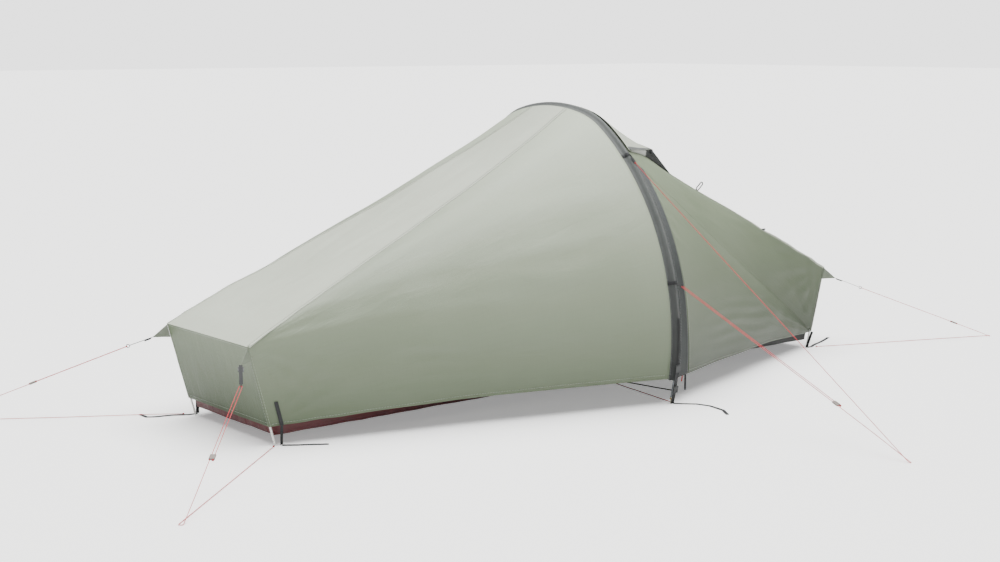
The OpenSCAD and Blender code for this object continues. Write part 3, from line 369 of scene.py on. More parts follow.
def tubePiece(name, line, radius, sides, material):
    # A tube along a line, its UV in metres round and along it
    points, uvs, faces = [], [], []
    along = 0
    side = None
    for i, p in enumerate(line):
        ahead = line[min(i + 1, len(line) - 1)] - line[max(i - 1, 0)]
        ahead = ahead / np.linalg.norm(ahead)
        if side is None:
            side = np.cross(ahead, (0, 0, 1) if abs(ahead[2]) < 0.9 else (1, 0, 0))
        side = side - ahead * side.dot(ahead)
        side = side / np.linalg.norm(side)
        up = np.cross(ahead, side)
        along += np.linalg.norm(p - line[i - 1]) if i else 0
        for k in range(sides):
            a = 2 * math.pi * k / sides
            points.append(p + (side * math.cos(a) + up * math.sin(a)) * radius)
            uvs.append((radius * 2 * math.pi * min(k, sides - k) / sides * mm, along * mm))
    for i in range(len(line) - 1):
        for k in range(sides):
            a, b = i * sides + k, i * sides + (k + 1) % sides
            faces.append((a, b, b + sides, a + sides))
    faces.append(tuple(reversed(range(sides))))
    faces.append(tuple(range(len(points) - sides, len(points))))
    return newPiece(name, points, faces, material, uvs)


# Guylines: up from the knot below the runner, through the ring, down to the ground point, back to the tent
guylines = {
    "guylineFootNear": {"nodes": ["guyline_foot_near"], "runner": "runner_foot_near", "body": "tent",
                        "route": [
        (-1565.5, -580, 95), (-1342.5, -345, 214), (-1341.5, -342, 215), (-1343, -339, 215.5),
        (-1346, -338, 215),
        (-1349, -339, 214), (-1572, -574, 95), (-1660, -667, 47), (-1738, -749, 6), (-1746, -757, 2),
        (-1750, -759, 1.5), (-1754.5, -757.5, 1.5), (-1756.5, -753, 1.5), (-1755, -749, 1.5),
        (-1600, -613, 1.5),
        (-1400, -437, 1.5), (-1250, -305, 1.5), (-1196, -257.5, 2)]},
    "guylineFootFar": {"nodes": ["guyline_foot_far"], "runner": "runner_foot_far", "body": "tent", "route": [
        (-1600, 513.5, 113), (-1363.5, 331, 228), (-1362, 328, 229), (-1363, 325, 229.5), (-1366, 323, 229),
        (-1369, 324, 228), (-1605.5, 506.5, 113), (-1720, 594.5, 57.5), (-1826, 676, 6), (-1835, 683, 2),
        (-1839.5, 684, 1.5), (-1843.5, 682, 1.5), (-1844.5, 677.5, 1.5), (-1842.5, 673.5, 1.5),
        (-1700, 584, 1.5),
        (-1500, 458, 1.5), (-1300, 332, 3.2), (-1208, 274, 2)]},
    "guylineHeadNear": {"nodes": ["guyline_head_near"], "runner": "runner_head_near", "body": "tent",
                        "route": [
        (1770.5, -500.5, 61), (1402, -324, 216), (1400, -321.5, 217), (1400, -318, 217.5),
        (1402.5, -316, 217),
        (1406, -316, 216), (1774.5, -492.5, 61), (1840, -524, 33.5), (1904, -554, 6), (1914, -559, 2),
        (1918.5, -559.5, 1.5), (1922, -556, 1.5), (1922.5, -551.5, 1.5), (1919.5, -548.5, 1.5),
        (1700, -462.5, 1.5),
        (1500, -384, 1.5), (1300, -305.5, 1.5), (1208, -269.5, 2)]},
    "guylineHoop": {"nodes": ["guyline_hoop"], "runner": "runner_hoop", "body": "tent", "route": [
        (109, -1258, 114), (109, -623, 385), (107.5, -620, 386.5), (104.5, -619, 387), (101.5, -620, 386.5),
        (100, -623, 385), (100, -1258, 114), (99, -1400, 53.5), (96, -1509, 6.5), (96, -1519, 2.5),
        (95, -1523, 1.5),
        (92, -1524, 1.5), (89, -1523, 2), (88, -1519, 4), (88, -1508, 11), (90, -1300, 153.5),
        (93, -1000, 359),
        (96, -700, 564), (98.5, -450, 735), (99, -405, 767.4)]},
}
for name, line in guylines.items():
    path = arcPath(line["route"], 5)
    cord = tubePiece(name, path, 1.0, 8, redCord)
    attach(cord, line["body"])
    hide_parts(*line["nodes"])
    [c * mm for c in line["route"][0]]

# The tent's sizes in millimetres, the same as the frame's
tent = {"footX": 1180.0, "halfW": 240.0, "edgeY": 245.0, "inset": 5.0, "cornerH": 302.0, "lean": 82.0,
        "hemCorner": 58.0, "hemHoop": 84.0, "hemArch": 14.0, "sag": 20.0, "seamW": 180.0, "hoopX": 95.0,
        "span": 1220.0, "wideH": 205.0, "crownH": 949.0, "legR": 834.0, "shoulderR": 294.0, "crownR": 664.0,
        "sleeveW": 42.0, "sleeveT": 1.2, "flapW": 46.0, "flapFlare": 18.0, "flareH": 330.0, "doorTop": 775.0,
        "foldGap": 1.5, "hoodReach": 259.0, "hoodFrontH": 790.0, "hoodFrontW": 400.0, "hoodRise": 26.0,
        "hoodEndH": 802.0, "hoodGap": 6.0, "roofCut": 0.647, "innerGap": 16.0, "innerRidge": 50.0,
        "tubH": 88.0,
        "floorLift": 28.0, "floorBorder": 145.0, "floorFar": 470.0, "innerCrown": 885.0, "seam": 0.3,
        "flyT": 1.5}
channelR = 5.2
flange = -(channelR + tent["sleeveT"])
flyOff = -channelR
sleeveTop = channelR + tent["sleeveT"]


def vec(*parts):
    return np.array(parts, float)


def mix(a, b, t):
    return a + (b - a) * t


def unit(v):
    return v / np.linalg.norm(v)


def turned(a):
    return vec(math.cos(math.radians(a)), math.sin(math.radians(a)))


def arcLength(radius, angle):
    return radius * math.radians(angle)


def arcAngle(radius, length):
    return math.degrees(length / radius)


# The pole lies on three arcs on each side: crown, shoulder and leg
legC = vec(tent["legR"] - tent["span"] / 2, tent["wideH"])
crownC = vec(0, tent["crownH"] - tent["crownR"])


def shoulderCentre():
    ra, rb = tent["crownR"] - tent["shoulderR"], tent["legR"] - tent["shoulderR"]
    apart = np.linalg.norm(legC - crownC)
    along = (ra * ra - rb * rb + apart * apart) / (2 * apart)
    ahead = (legC - crownC) / apart
    rise = vec(-ahead[1], ahead[0]) * math.sqrt(ra * ra - along * along)
    middle = crownC + ahead * along
    return middle + rise if rise[1] > 0 else middle - rise


shoulderC = shoulderCentre()
legEnd = math.degrees(math.atan2(*(shoulderC - legC)[::-1]))
shoulderEnd = math.degrees(math.atan2(*(shoulderC - crownC)[::-1]))
crownLen = arcLength(tent["crownR"], shoulderEnd - 90)
shoulderLen = arcLength(tent["shoulderR"], legEnd - shoulderEnd)


def hoop(s, off):
    # Distance across and height of the hoop, s along the pole from its crown and off outwards
    if s <= crownLen:
        return crownC + (tent["crownR"] + off) * turned(90 + arcAngle(tent["crownR"], s))
    if s <= crownLen + shoulderLen:
        return shoulderC + (tent["shoulderR"] + off) * turned(shoulderEnd + arcAngle(tent["shoulderR"],
                s - crownLen))
    return legC + (tent["legR"] + off) * turned(legEnd + arcAngle(tent["legR"], s - crownLen - shoulderLen))


def legAngle(z, off=0):
    return 180 - math.degrees(math.asin((z - legC[1]) / (tent["legR"] + off)))


def reachAt(z, off=0):
    return crownLen + shoulderLen + arcLength(tent["legR"], legAngle(z, off) - legEnd)


sHem = reachAt(tent["hemHoop"], flyOff)
sSeam = arcLength(tent["crownR"], math.degrees(math.asin(tent["seamW"] / 2 / tent["crownR"])))
sDoor = reachAt(tent["doorTop"], flyOff)
sHood = reachAt(tent["hoodEndH"], flyOff)


def edgeX(z):
    return tent["footX"] + tent["inset"] + tent["lean"] * z / tent["cornerH"]


def cornerEdge(end, across, w):
    h = mix(tent["hemCorner"], tent["cornerH"], w)
    return vec(end * edgeX(h), across * tent["edgeY"], h)


def slump(u):
    return 6.75 * u * u * (1 - u) * tent["sag"]


def arch(u):
    return 4 * u * (1 - u) * tent["hemArch"]


def sleeveEdge(end, across, s):
    h = hoop(s, flyOff)
    return vec(tent["hoopX"] + end * (tent["sleeveW"] / 2 + tent["seam"]), -across * h[0], h[1])


def sidePoint(end, across, u, v):
    edge = cornerEdge(end, across, 1 - (1 - v) ** 2)
    return mix(edge, sleeveEdge(end, across, mix(sHem, sSeam, v)), u) \
        + vec(0, 0, arch(u) * (1 - v) ** 3 - slump(u) * v * v)


def roofPoint(end, u, v):
    edge = vec(end * edgeX(tent["cornerH"]), v * tent["edgeY"], tent["cornerH"])
    return mix(edge, sleeveEdge(end, -1 if v < 0 else 1, sSeam * abs(v)), u) - vec(0, 0, slump(u))


def upperPoint(u, v):
    low = tent["foldGap"] / (tent["cornerH"] - tent["hemCorner"])
    return mix(cornerEdge(1, -1, mix(low, 1, v)), sleeveEdge(1, -1, mix(sDoor - tent["foldGap"], sSeam, v)),
               u) \
        - vec(0, 0, slump(u) * v * v)


doorCorner = cornerEdge(1, -1, 0)
sleeveSide = tent["hoopX"] + tent["sleeveW"] / 2 + tent["seam"]
doorReach = doorCorner[0] - sleeveSide
sFlare = reachAt(tent["flareH"], flyOff)


def doorPoint(s, q):
    return mix(sleeveEdge(1, -1, s), doorCorner, q) + vec(0, 0, arch(q) * ((s - sDoor) / (sHem - sDoor)) ** 3)


def flapEdge(s, past=0):
    flare = max(0, (s - sFlare) / (sHem - sFlare)) ** 2
    return (tent["flapW"] + tent["flapFlare"] * flare + past) / doorReach


def outward(p, core=(0, 250)):
    return unit(p - vec(max(-900, min(900, p[0])), core[0], core[1]))


def blendStep(value, low, high):
    t = min(1, max(0, (value - low) / (high - low)))
    return t * t * (3 - 2 * t)


# How the cloth creases, in millimetres: broad waves, ripples along the pull, folds that fan from the corners
creases = {"broad": 4.2, "ripple": 2.6, "fan": 2.5, "fanFolds": 17, "fanReach": 430,
           "hang": 1.5, "hangPitch": 42, "seed": 3.0}
fanCorners = [vec(end * edgeX(h), across * tent["edgeY"], h)
              for end in (-1, 1) for across in (-1, 1) for h in (tent["hemCorner"], tent["cornerH"])]


def fromLine(p, line):
    # Distance of a point from a fold, which stays straight so that it can turn
    a, b = line
    t = min(1, max(0, (p - a).dot(b - a) / (b - a).dot(b - a)))
    return np.linalg.norm(p - a - (b - a) * t)


doorFold = (doorPoint(sDoor, 0), doorCorner)


def drape(p, amount=1.0, core=(0, 250)):
    # The same point always moves the same way, so that pieces which meet stay together
    x, y, z = p
    rest = blendStep(abs(x - tent["hoopX"]), 22, 190) * blendStep(z, 0, 40)
    rest *= blendStep(edgeX(z) - abs(x), 0, 60) * 0.85 + 0.15
    seed = creases["seed"]
    move = creases["broad"] * noise.noise(Vector((x / 300, y / 300 + seed, z / 190)))
    pull = math.atan2(z - 250, abs(y) + 1)
    move += creases["ripple"] * noise.noise(Vector((x / 260, seed * 2 + pull * 9 + (1 if y > 0 else 0),
                                                    z / 420)))
    for corner in fanCorners:
        gap = p - corner
        far = np.linalg.norm(gap)
        if far < 1100 and far > 1:
            turn = math.atan2(gap[2], abs(gap[0]) + 1e-6) * creases["fanFolds"]
            turn += 2.2 * noise.noise(Vector((turn * 0.23, corner[0] / 900, seed + corner[1] / 300)))
            move += creases["fan"] * math.sin(turn) * math.exp(-far / creases["fanReach"]) * blendStep(far,
                    20, 110) \
                * blendStep(0.92 - abs(gap[1]) / far, 0, 0.3)
    # Long shallow folds above the hem, where the cloth hangs slackest
    away = abs(x - tent["hoopX"])
    hang = blendStep(z, 75, 130) * (1 - blendStep(z, 230, 330)) * blendStep(away, 110, 330) \
        * (1 - blendStep(away, 760, 1080)) * max(0, 0.55 + noise.noise(Vector((x / 210, seed * 3, z / 120))))
    move += hang * creases["hang"] * math.sin(
        math.tau * z / creases["hangPitch"] + x / 62 + 2.4 * noise.noise(Vector((x / 230, 5, z / 150))))
    move *= rest
    if y < 0 and x > tent["hoopX"]:
        move *= blendStep(fromLine(p, doorFold), 1, 80)
    if x > tent["hoopX"] and z > 640 and abs(y) < 420:
        move *= 0.12 + 0.88 * blendStep(x, 390, 520)
    if y < 0 and x > sleeveSide + tent["flapW"]:
        # Small gathers beside the upper part of the zip
        near = (1 - blendStep(x, sleeveSide + tent["flapW"] + 10, 300)) * blendStep(z, 430, 520) \
            * (1 - blendStep(z, 690, 760)) * blendStep(x, sleeveSide + tent["flapW"],
                                                       sleeveSide + tent["flapW"] + 14)
        move += near * 1.7 * math.sin(z / 8.5 + x / 21 + 2.5 * noise.noise(Vector((x / 50, z / 60, 9))))
    return p + outward(p, core) * move * amount


def gridOf(rows, cols, at):
    return np.array([[at(i, j) for j in cols] for i in rows])


def span(low, high, count):
    return [mix(low, high, k / count) for k in range(count + 1)]


def clothPiece(name, grids, material, thickness, core=(0, 250), sharp=70, other=None):
    # One sheet from grids whose edges meet; its faces look out from the tent's core.
    # other gives further materials and, for each grid, the number of its material
    points, faces, uvs, finish = [], [], [], []
    for n, g in enumerate(grids):
        rows, cols = g.shape[:2]
        lengthU = np.concatenate([[0], np.cumsum(np.linalg.norm(np.diff(g, axis=0), axis=2).mean(axis=1))])
        lengthV = np.concatenate([[0], np.cumsum(np.linalg.norm(np.diff(g, axis=1), axis=2).mean(axis=0))])
        start = len(points)
        for i in range(rows):
            for j in range(cols):
                points.append(g[i, j])
                uvs.append((lengthU[i] * mm, lengthV[j] * mm))
        for i in range(rows - 1):
            for j in range(cols - 1):
                a = start + i * cols + j
                faces.append((a, a + 1, a + cols + 1, a + cols))
                finish.append(other[1][n] if other else 0)
    piece = newPiece(name, points, faces, material, uvs)
    if other:
        for extra in other[0]:
            piece.data.materials.append(extra)
        piece.data.polygons.foreach_set("material_index", finish)
    work = bmesh.new()
    work.from_mesh(piece.data)
    bmesh.ops.remove_doubles(work, verts=work.verts, dist=0.00002)
    bmesh.ops.dissolve_degenerate(work, edges=work.edges, dist=0.00001)
    wrong = [f for f in work.faces
             if f.normal.dot(Vector(outward(np.array(f.calc_center_median()) / mm, core))) < 0]
    bmesh.ops.reverse_faces(work, faces=wrong)
    work.to_mesh(piece.data)
    work.free()
    piece.data.set_sharp_from_angle(angle=math.radians(sharp))
    wall = piece.modifiers.new("thickness", "SOLIDIFY")
    wall.thickness = thickness * mm
    wall.offset = -1
    wall.use_even_offset = False
    return piece


def sewnOn(piece, body, nodes):
    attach(piece, body)
    if nodes:
        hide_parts(*nodes)
    return piece


# Fly over the foot end: both sides, the roof between their seams, and the end, as one sheet
panel = {"along": 96, "side": 56, "roof": 34}
uSteps = span(0, 1, panel["along"])
vSteps = span(0, 1, panel["side"])
roofSteps = span(-1, 1, panel["roof"])


def endGrid(end):
    # The end panel bellies in a little between its edges
    def at(v, w):
        c = cornerEdge(end, 1, 1 - (1 - v) ** 2)
        belly = 5 * (1 - w * w) * math.sin(math.pi * v) ** 0.8
        return drape(vec(c[0] - end * belly, w * tent["edgeY"], c[2]))
    return gridOf(vSteps, roofSteps, at)


footGrids = [gridOf(uSteps, vSteps, lambda u, v: drape(sidePoint(-1, -1, u, v))),
             gridOf(uSteps, vSteps, lambda u, v: drape(sidePoint(-1, 1, u, v))),
             gridOf(uSteps, roofSteps, lambda u, v: drape(roofPoint(-1, u, v))), endGrid(-1)]
flyFoot = clothPiece("flyFoot", footGrids, flyNylon, 0.8, sharp=60, other=([shadedSideNylon, shadedEndNylon],
        (1, 1, 0, 2)))
sewnOn(flyFoot, "tent", ["roof_foot", "side_foot_near", "side_foot_far", "end_foot"])

# Fly over the head end: the near side stops at the fold above the door, the roof stops at the vent
cut = tent["roofCut"]
cutSteps = span(0, cut, 62) + span(cut, 1, 34)[1:]
headGrids = [gridOf(cutSteps, span(0, 1, 30), lambda u, v: drape(upperPoint(u, v))),
             gridOf(cutSteps, vSteps, lambda u, v: drape(sidePoint(1, 1, u, v))),
             gridOf(span(0, cut, 62), roofSteps, lambda u, v: drape(roofPoint(1, u, v)))]
endHead = endGrid(1)
flyHead = clothPiece("flyHead", headGrids + [endHead], flyNylon, 0.8, sharp=60,
                     other=([shadedDoorNylon, shadedSideNylon, shadedEndNylon], (1, 2, 0, 3)))
sewnOn(flyHead, "tent", ["roof_head", "side_head_upper", "side_head_far", "end_head"])

# Door: straight pulls to the head end's bottom corner, zipped beside the flap, folding along its top
doorLook = {"along": 84, "down": 70, "tip": 0.985}
doorGrid = np.array([[drape(doorPoint(s, mix(doorLook["tip"], flapEdge(s, 0.6), i / doorLook["along"])))
                      for s in span(sHem, sDoor + tent["foldGap"], doorLook["down"])]
                     for i in range(doorLook["along"] + 1)])
door = clothPiece("doorPanel", [doorGrid], shadedDoorNylon, 0.8)
sewnOn(door, "fly_door", ["door"])

# Strip over the fold
foldGrid = []
for k in span(0.004, 0.98, 130):
    crest = drape(doorPoint(sDoor, k))
    above = drape(upperPoint(1 - k, 0.03))
    below = drape(doorPoint(sDoor + 22, k))
    foldGrid.append([crest + unit(above - crest) * 7, crest + unit(above - crest) * 3, crest,
                     crest + unit(below - crest) * 3, crest + unit(below - crest) * 7])
foldGrid = np.array([[p + outward(p) * 0.7 for p in row] for row in foldGrid])
foldStrip = clothPiece("doorFoldStrip", [foldGrid], shadedDoorNylon, 0.5)
foldMiddle = doorPoint(sDoor, 0.5)
foldAcross = unit(np.cross(doorCorner - doorPoint(sDoor, 0), outward(foldMiddle)))
foldAcross = foldAcross if foldAcross[2] > 0 else -foldAcross
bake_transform(foldStrip)

# Zip flap: a doubled grey strip, its free edge lifted by the zip below it
flap = {"rows": 10, "down": 120, "lift": 1.6}
flapGrid = np.array([[doorPoint(s, mix(flapEdge(s), 0, i / flap["rows"]))
                      + vec(0, -1, 0.1) * flap["lift"] * (1 - i / flap["rows"]) ** 2
                      * (1 + 0.5 * noise.noise(Vector((s / 60, i / 6, 4))))
                      for s in span(sHem, sDoor, flap["down"])] for i in range(flap["rows"] + 1)])
zipFlap = clothPiece("zipFlap", [flapGrid], flapPolyester, 1.2)
sewnOn(zipFlap, "tent", ["zip_flap"])


def inward(p, t, core=(0, 250)):
    return p - outward(p, core) * t


tapeGrid = np.array([[inward(doorPoint(s, flapEdge(s, mix(9, 0.6, i / 4))), tent["flyT"] + 0.3)
                      for s in span(sHem, sDoor + 6, 110)] for i in range(5)])
zipTape = clothPiece("zipTape", [tapeGrid], zipCloth, 0.6)
sewnOn(zipTape, "fly_door", ["door_zip_tape"])
print("fly and door made")

# Pole sleeve: a flat band with a channel over the pole, slightly puckered by its seams
sleeve = {"steps": 330, "endH": 80.0, "pucker": 0.45}


def sleeveOutline():
    w, c = tent["sleeveW"] / 2, channelR
    half = [vec(flange, w), vec(flange + 1.2, w), vec(flange + 1.6, w - 3), vec(-0.65 * c, 1.9 * c),
            vec(0.1 * c, 1.45 * c), vec(0.75 * c, 1.0 * c), vec(sleeveTop - 0.35, 0.55 * c),
            vec(sleeveTop, 0.18 * c)]
    return half + [vec(p[0], -p[1]) for p in reversed(half)]


sEnd = reachAt(sleeve["endH"], flange)
outline = sleeveOutline()
sleevePoints, sleeveUvs, sleeveFaces = [], [], []
around = len(outline)
for n in range(sleeve["steps"] + 1):
    s = mix(-sEnd, sEnd, n / sleeve["steps"])
    for k, (r, x) in enumerate(outline):
        pucker = sleeve["pucker"] * noise.noise(Vector((s / 14, x / 9, 7))) if r > flange else 0
        c = hoop(abs(s), r + pucker)
        sleevePoints.append(vec(tent["hoopX"] + x, c[0] if s > 0 else -c[0], c[1]))
        sleeveUvs.append((x * mm, s * mm))
for n in range(sleeve["steps"]):
    for k in range(around):
        a, b = n * around + k, n * around + (k + 1) % around
        sleeveFaces.append((a, a + around, b + around, b))
sleeveFaces.append(tuple(range(around)))
sleeveFaces.append(tuple(reversed(range(len(sleevePoints) - around, len(sleevePoints)))))
poleSleeve = newPiece("poleSleeve", sleevePoints, sleeveFaces, sleevePolyester, sleeveUvs)
work = bmesh.new()
work.from_mesh(poleSleeve.data)
bmesh.ops.recalc_face_normals(work, faces=work.faces)
work.to_mesh(poleSleeve.data)
work.free()
poleSleeve.data.set_sharp_from_angle(angle=math.radians(50))
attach(poleSleeve, "tent")
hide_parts("sleeve_near", "sleeve_crown", "sleeve_far")
print("sleeve made")

# Vent: hood held out by its stiffener, gussets at its sides, net below it
hoodX = tent["hoopX"] + tent["sleeveW"] / 2 + tent["hoodReach"]
sUpper = (sDoor - tent["foldGap"] - sHood) / (sDoor - tent["foldGap"] - sSeam)
vFar = (sHem - sHood) / (sHem - sSeam)


def hoodBack(a):
    h = hoop(sHood * abs(a), flyOff + tent["flyT"] + tent["hoodGap"])
    return vec(sleeveSide, h[0] if a < 0 else -h[0], h[1])


def hoodFront(a):
    return vec(hoodX, a * tent["hoodFrontW"] / 2, tent["hoodFrontH"] + tent["hoodRise"] * (1 - a * a))


def hoodPoint(t, a):
    # Slack of a few millimetres between the sleeve and the front edge
    slack = 4 * math.sin(math.pi * t) * (1 - a * a) + 1.2 * noise.noise(Vector((t * 3, a * 4,
            2))) * math.sin(math.pi * t)
    return mix(hoodFront(a), hoodBack(a), t) - vec(0, 0, slack)


def gussetFoot(across, k):
    u = mix(1, cut, k)
    p = upperPoint(u, mix(sUpper, 1, k)) if across < 0 else sidePoint(1, 1, u, mix(vFar, 1, k))
    return drape(p) + outward(p) * 1.3


hoodGrid = gridOf(span(0, 1, 34), span(-1, 1, 64), hoodPoint)
ventHood = clothPiece("ventHood", [hoodGrid], flyNylon, 1.2)
sewnOn(ventHood, "hood", ["vent_hood"])
drop = vec(0, 0, tent["flyT"] + 0.6)
# Shares of the hood's depth between which the gussets close its sides
gussetSpan = {"start": 0.06, "end": 0.965}
for across, name in ((-1, "gussetNear"), (1, "gussetFar")):
    grid = gridOf(span(gussetSpan["start"], gussetSpan["end"], 30), span(0, 1, 8), lambda k, j: mix(
        gussetFoot(across, k), mix(hoodBack(across), hoodFront(across), k) - drop, j))
    gusset = clothPiece(name, [grid], gussetNylon, 0.8, core=(0, 790))
    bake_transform(gusset)
    # The part below the stiffener is net
    gusset.data.materials.append(ventNet)
    for face in gusset.data.polygons:
        face.material_index = 1 if face.center.x > 0.3 else 0
    if across < 0:
        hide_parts("vent_gussets")
netGrid = gridOf(span(0, 1, 14), span(-1, 1, 40), lambda i, a: mix(
    drape(roofPoint(1, cut, a)) + vec(0, 0, 1.3), hoodFront(a) - drop, i))
frontNet = clothPiece("ventFrontNet", [netGrid], ventNet, 0.6)
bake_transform(frontNet)
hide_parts("vent_front_mesh")
windowGrid = gridOf(span(cut, 1, 24), span(-1, 1, 26), lambda u, v: drape(roofPoint(1, u, v)) - vec(0, 0,
        0.4))
windowNet = clothPiece("ventWindowNet", [windowGrid], ventNet, 0.6)
sewnOn(windowNet, "tent", ["vent_window_mesh"])
print("vent made")

# Inner tent and floor
innerW = tent["halfW"] - 8
innerTop = tent["cornerH"] - 40
innerCore = (150, 400)
innerNear = [vec(-innerW + 10, tent["tubH"]), vec(-tent["innerRidge"], tent["innerCrown"])]
innerFar = [vec(485, tent["tubH"]), vec(512, 200), vec(520, 340), vec(495, 510), vec(440, 650), vec(350, 765),
            vec(250, 840), vec(150, tent["innerCrown"])]


def along(line, v):
    k = v * (len(line) - 1)
    i = min(int(k), len(line) - 2)
    return mix(line[i], line[i + 1], k - i)


def innerHoop(across, v):
    p = along(innerNear if across < 0 else innerFar, v)
    return vec(tent["hoopX"], p[0], p[1])


def innerEdge(end, across, z):
    return vec(end * (edgeX(z) - tent["innerGap"]), across * innerW, z)


def innerSide(end, across, u, v):
    return mix(innerEdge(end, across, mix(tent["tubH"], innerTop, v)), innerHoop(across, v), u)


innerFold = (innerHoop(-1, 0.97), innerEdge(1, -1, tent["tubH"] + 2))


def slack(p, amount=3.0):
    # The inner tent hangs looser than the fly
    wave = noise.noise(Vector((p[0] / 130, p[1] / 130, p[2] / 90 + 11)))
    rest = blendStep(p[2], tent["tubH"], tent["tubH"] + 50) * blendStep(edgeX(p[2]) - 16 - abs(p[0]), 0, 60)
    if p[1] < 0 and p[0] > tent["hoopX"]:
        rest *= blendStep(fromLine(p, innerFold), 1, 90)
    return p - outward(p, innerCore) * (1 + wave) * amount * rest


for end, name, nodes in ((-1, "innerFoot", ["inner_side_foot_near", "inner_side_foot_far", "inner_roof_foot",
                                            "inner_ends"]),
                         (1, "innerHead", ["inner_side_head_upper", "inner_side_head_far",
                                           "inner_roof_head"])):
    sideSteps, upSteps, topSteps = span(0, 1, 44), span(0, 1, 28), span(0, 1, 14)
    if end < 0:
        near = gridOf(sideSteps, upSteps, lambda u, v: slack(innerSide(-1, -1, u, v)))
    else:
        near = gridOf(sideSteps, span(0, 1, 6), lambda u, v: slack(mix(
            innerEdge(1, -1, mix(tent["tubH"] + 3.2, innerTop, v)), innerHoop(-1, mix(0.9717, 1, v)), u)))
    grids = [near, gridOf(sideSteps, upSteps, lambda u, v: slack(innerSide(end, 1, u, v))),
             gridOf(sideSteps, topSteps,
                    lambda u, v: slack(mix(innerSide(end, -1, u, 1), innerSide(end, 1, u, 1), v))),
             gridOf(upSteps, topSteps, lambda h, w: slack(
                 innerEdge(end, -1, mix(tent["tubH"], innerTop, h)) * vec(1, 1 - 2 * w, 1)))]
    inner = clothPiece(name, grids, innerNylon, 0.6, core=innerCore)
    sewnOn(inner, "tent", nodes)
innerCorner = innerEdge(1, -1, tent["tubH"] + 2)
innerDoorGrid = gridOf(span(0, 1, 40), span(0, 1, 34), lambda i, v: slack(mix(
    mix(innerHoop(-1, 0) + vec(0, 0, 2), innerHoop(-1, 0.97), v), innerCorner, mix(0.985, 0.002, i)), 2.0))
innerDoor = clothPiece("innerDoor", [innerDoorGrid], innerNylon, 0.6, core=innerCore)
sewnOn(innerDoor, "inner_tent_door", ["inner_door"])

nearEdge = -innerW - 3


def floorCorner(end, across, level):
    if level == 0:
        return vec(end * (edgeX(0) - tent["innerGap"] - tent["floorBorder"]),
                   across * (innerW - tent["floorBorder"]), 0.5)
    return innerEdge(end, across, tent["floorLift"] if level == 1 else tent["tubH"])


def floorMiddle(across, level):
    if level == 0:
        return vec(tent["hoopX"], nearEdge + tent["floorBorder"] if across < 0
                   else tent["floorFar"] - tent["floorBorder"], 0.5)
    if level == 1:
        return vec(tent["hoopX"], nearEdge if across < 0 else tent["floorFar"], tent["floorLift"])
    return innerHoop(across, 0)


def crumple(p):
    # Small dents in the coated floor, never below the ground
    wave = noise.noise(Vector((p[0] / 70, p[1] / 70, p[2] / 28 + 5)))
    if p[2] < 1:
        return p + vec(0, 0, 1.6 * max(0, wave))
    return p + outward(p, innerCore) * 2.4 * wave * blendStep(p[2], 1, 18) * (1 - blendStep(p[2], 74, 88))


def floorRow(across, level, t):
    # Along the floor from the foot corner past the middle to the head corner
    corner = floorCorner(-1 if t < 0.5 else 1, across, level)
    return mix(corner, floorMiddle(across, level), 1 - abs(2 * t - 1))


def wallPoint(lower, upper, v):
    return mix(lower, upper, v)


longSteps, levelSteps, wideSteps = span(0, 1, 100), span(0, 2, 16), span(0, 1, 24)
tubGrids = [gridOf(longSteps, levelSteps, lambda t, v, a=across: crumple(wallPoint(
    floorRow(a, min(1, int(v)), t), floorRow(a, min(1, int(v)) + 1, t), v - min(1, int(v)))))
    for across in (-1, 1)]
tubGrids += [gridOf(levelSteps, wideSteps, lambda v, w, e=end: crumple(mix(
    mix(floorCorner(e, -1, min(1, int(v))), floorCorner(e, -1, min(1, int(v)) + 1), v - min(1, int(v))),
    mix(floorCorner(e, 1, min(1, int(v))), floorCorner(e, 1, min(1, int(v)) + 1), v - min(1, int(v))), w)))
    for end in (-1, 1)]
tubGrids.append(gridOf(longSteps, wideSteps,
                       lambda t, w: crumple(mix(floorRow(-1, 0, t), floorRow(1, 0, t), w))))
tub = clothPiece("tubFloor", tubGrids, floorNylon, 0.8, core=innerCore, sharp=40)
tub.data.materials.append(shadedFloorNylon)
# Painted shade: the head half gets a near-black copy of the red floor cloth
for face in tub.data.polygons:
    face.material_index = 1 if face.center.x > tent["hoopX"] * mm else 0
sewnOn(tub, "tent", ["groundsheet", "tub_side_walls", "tub_end_walls"])
print("inner tent and floor made")


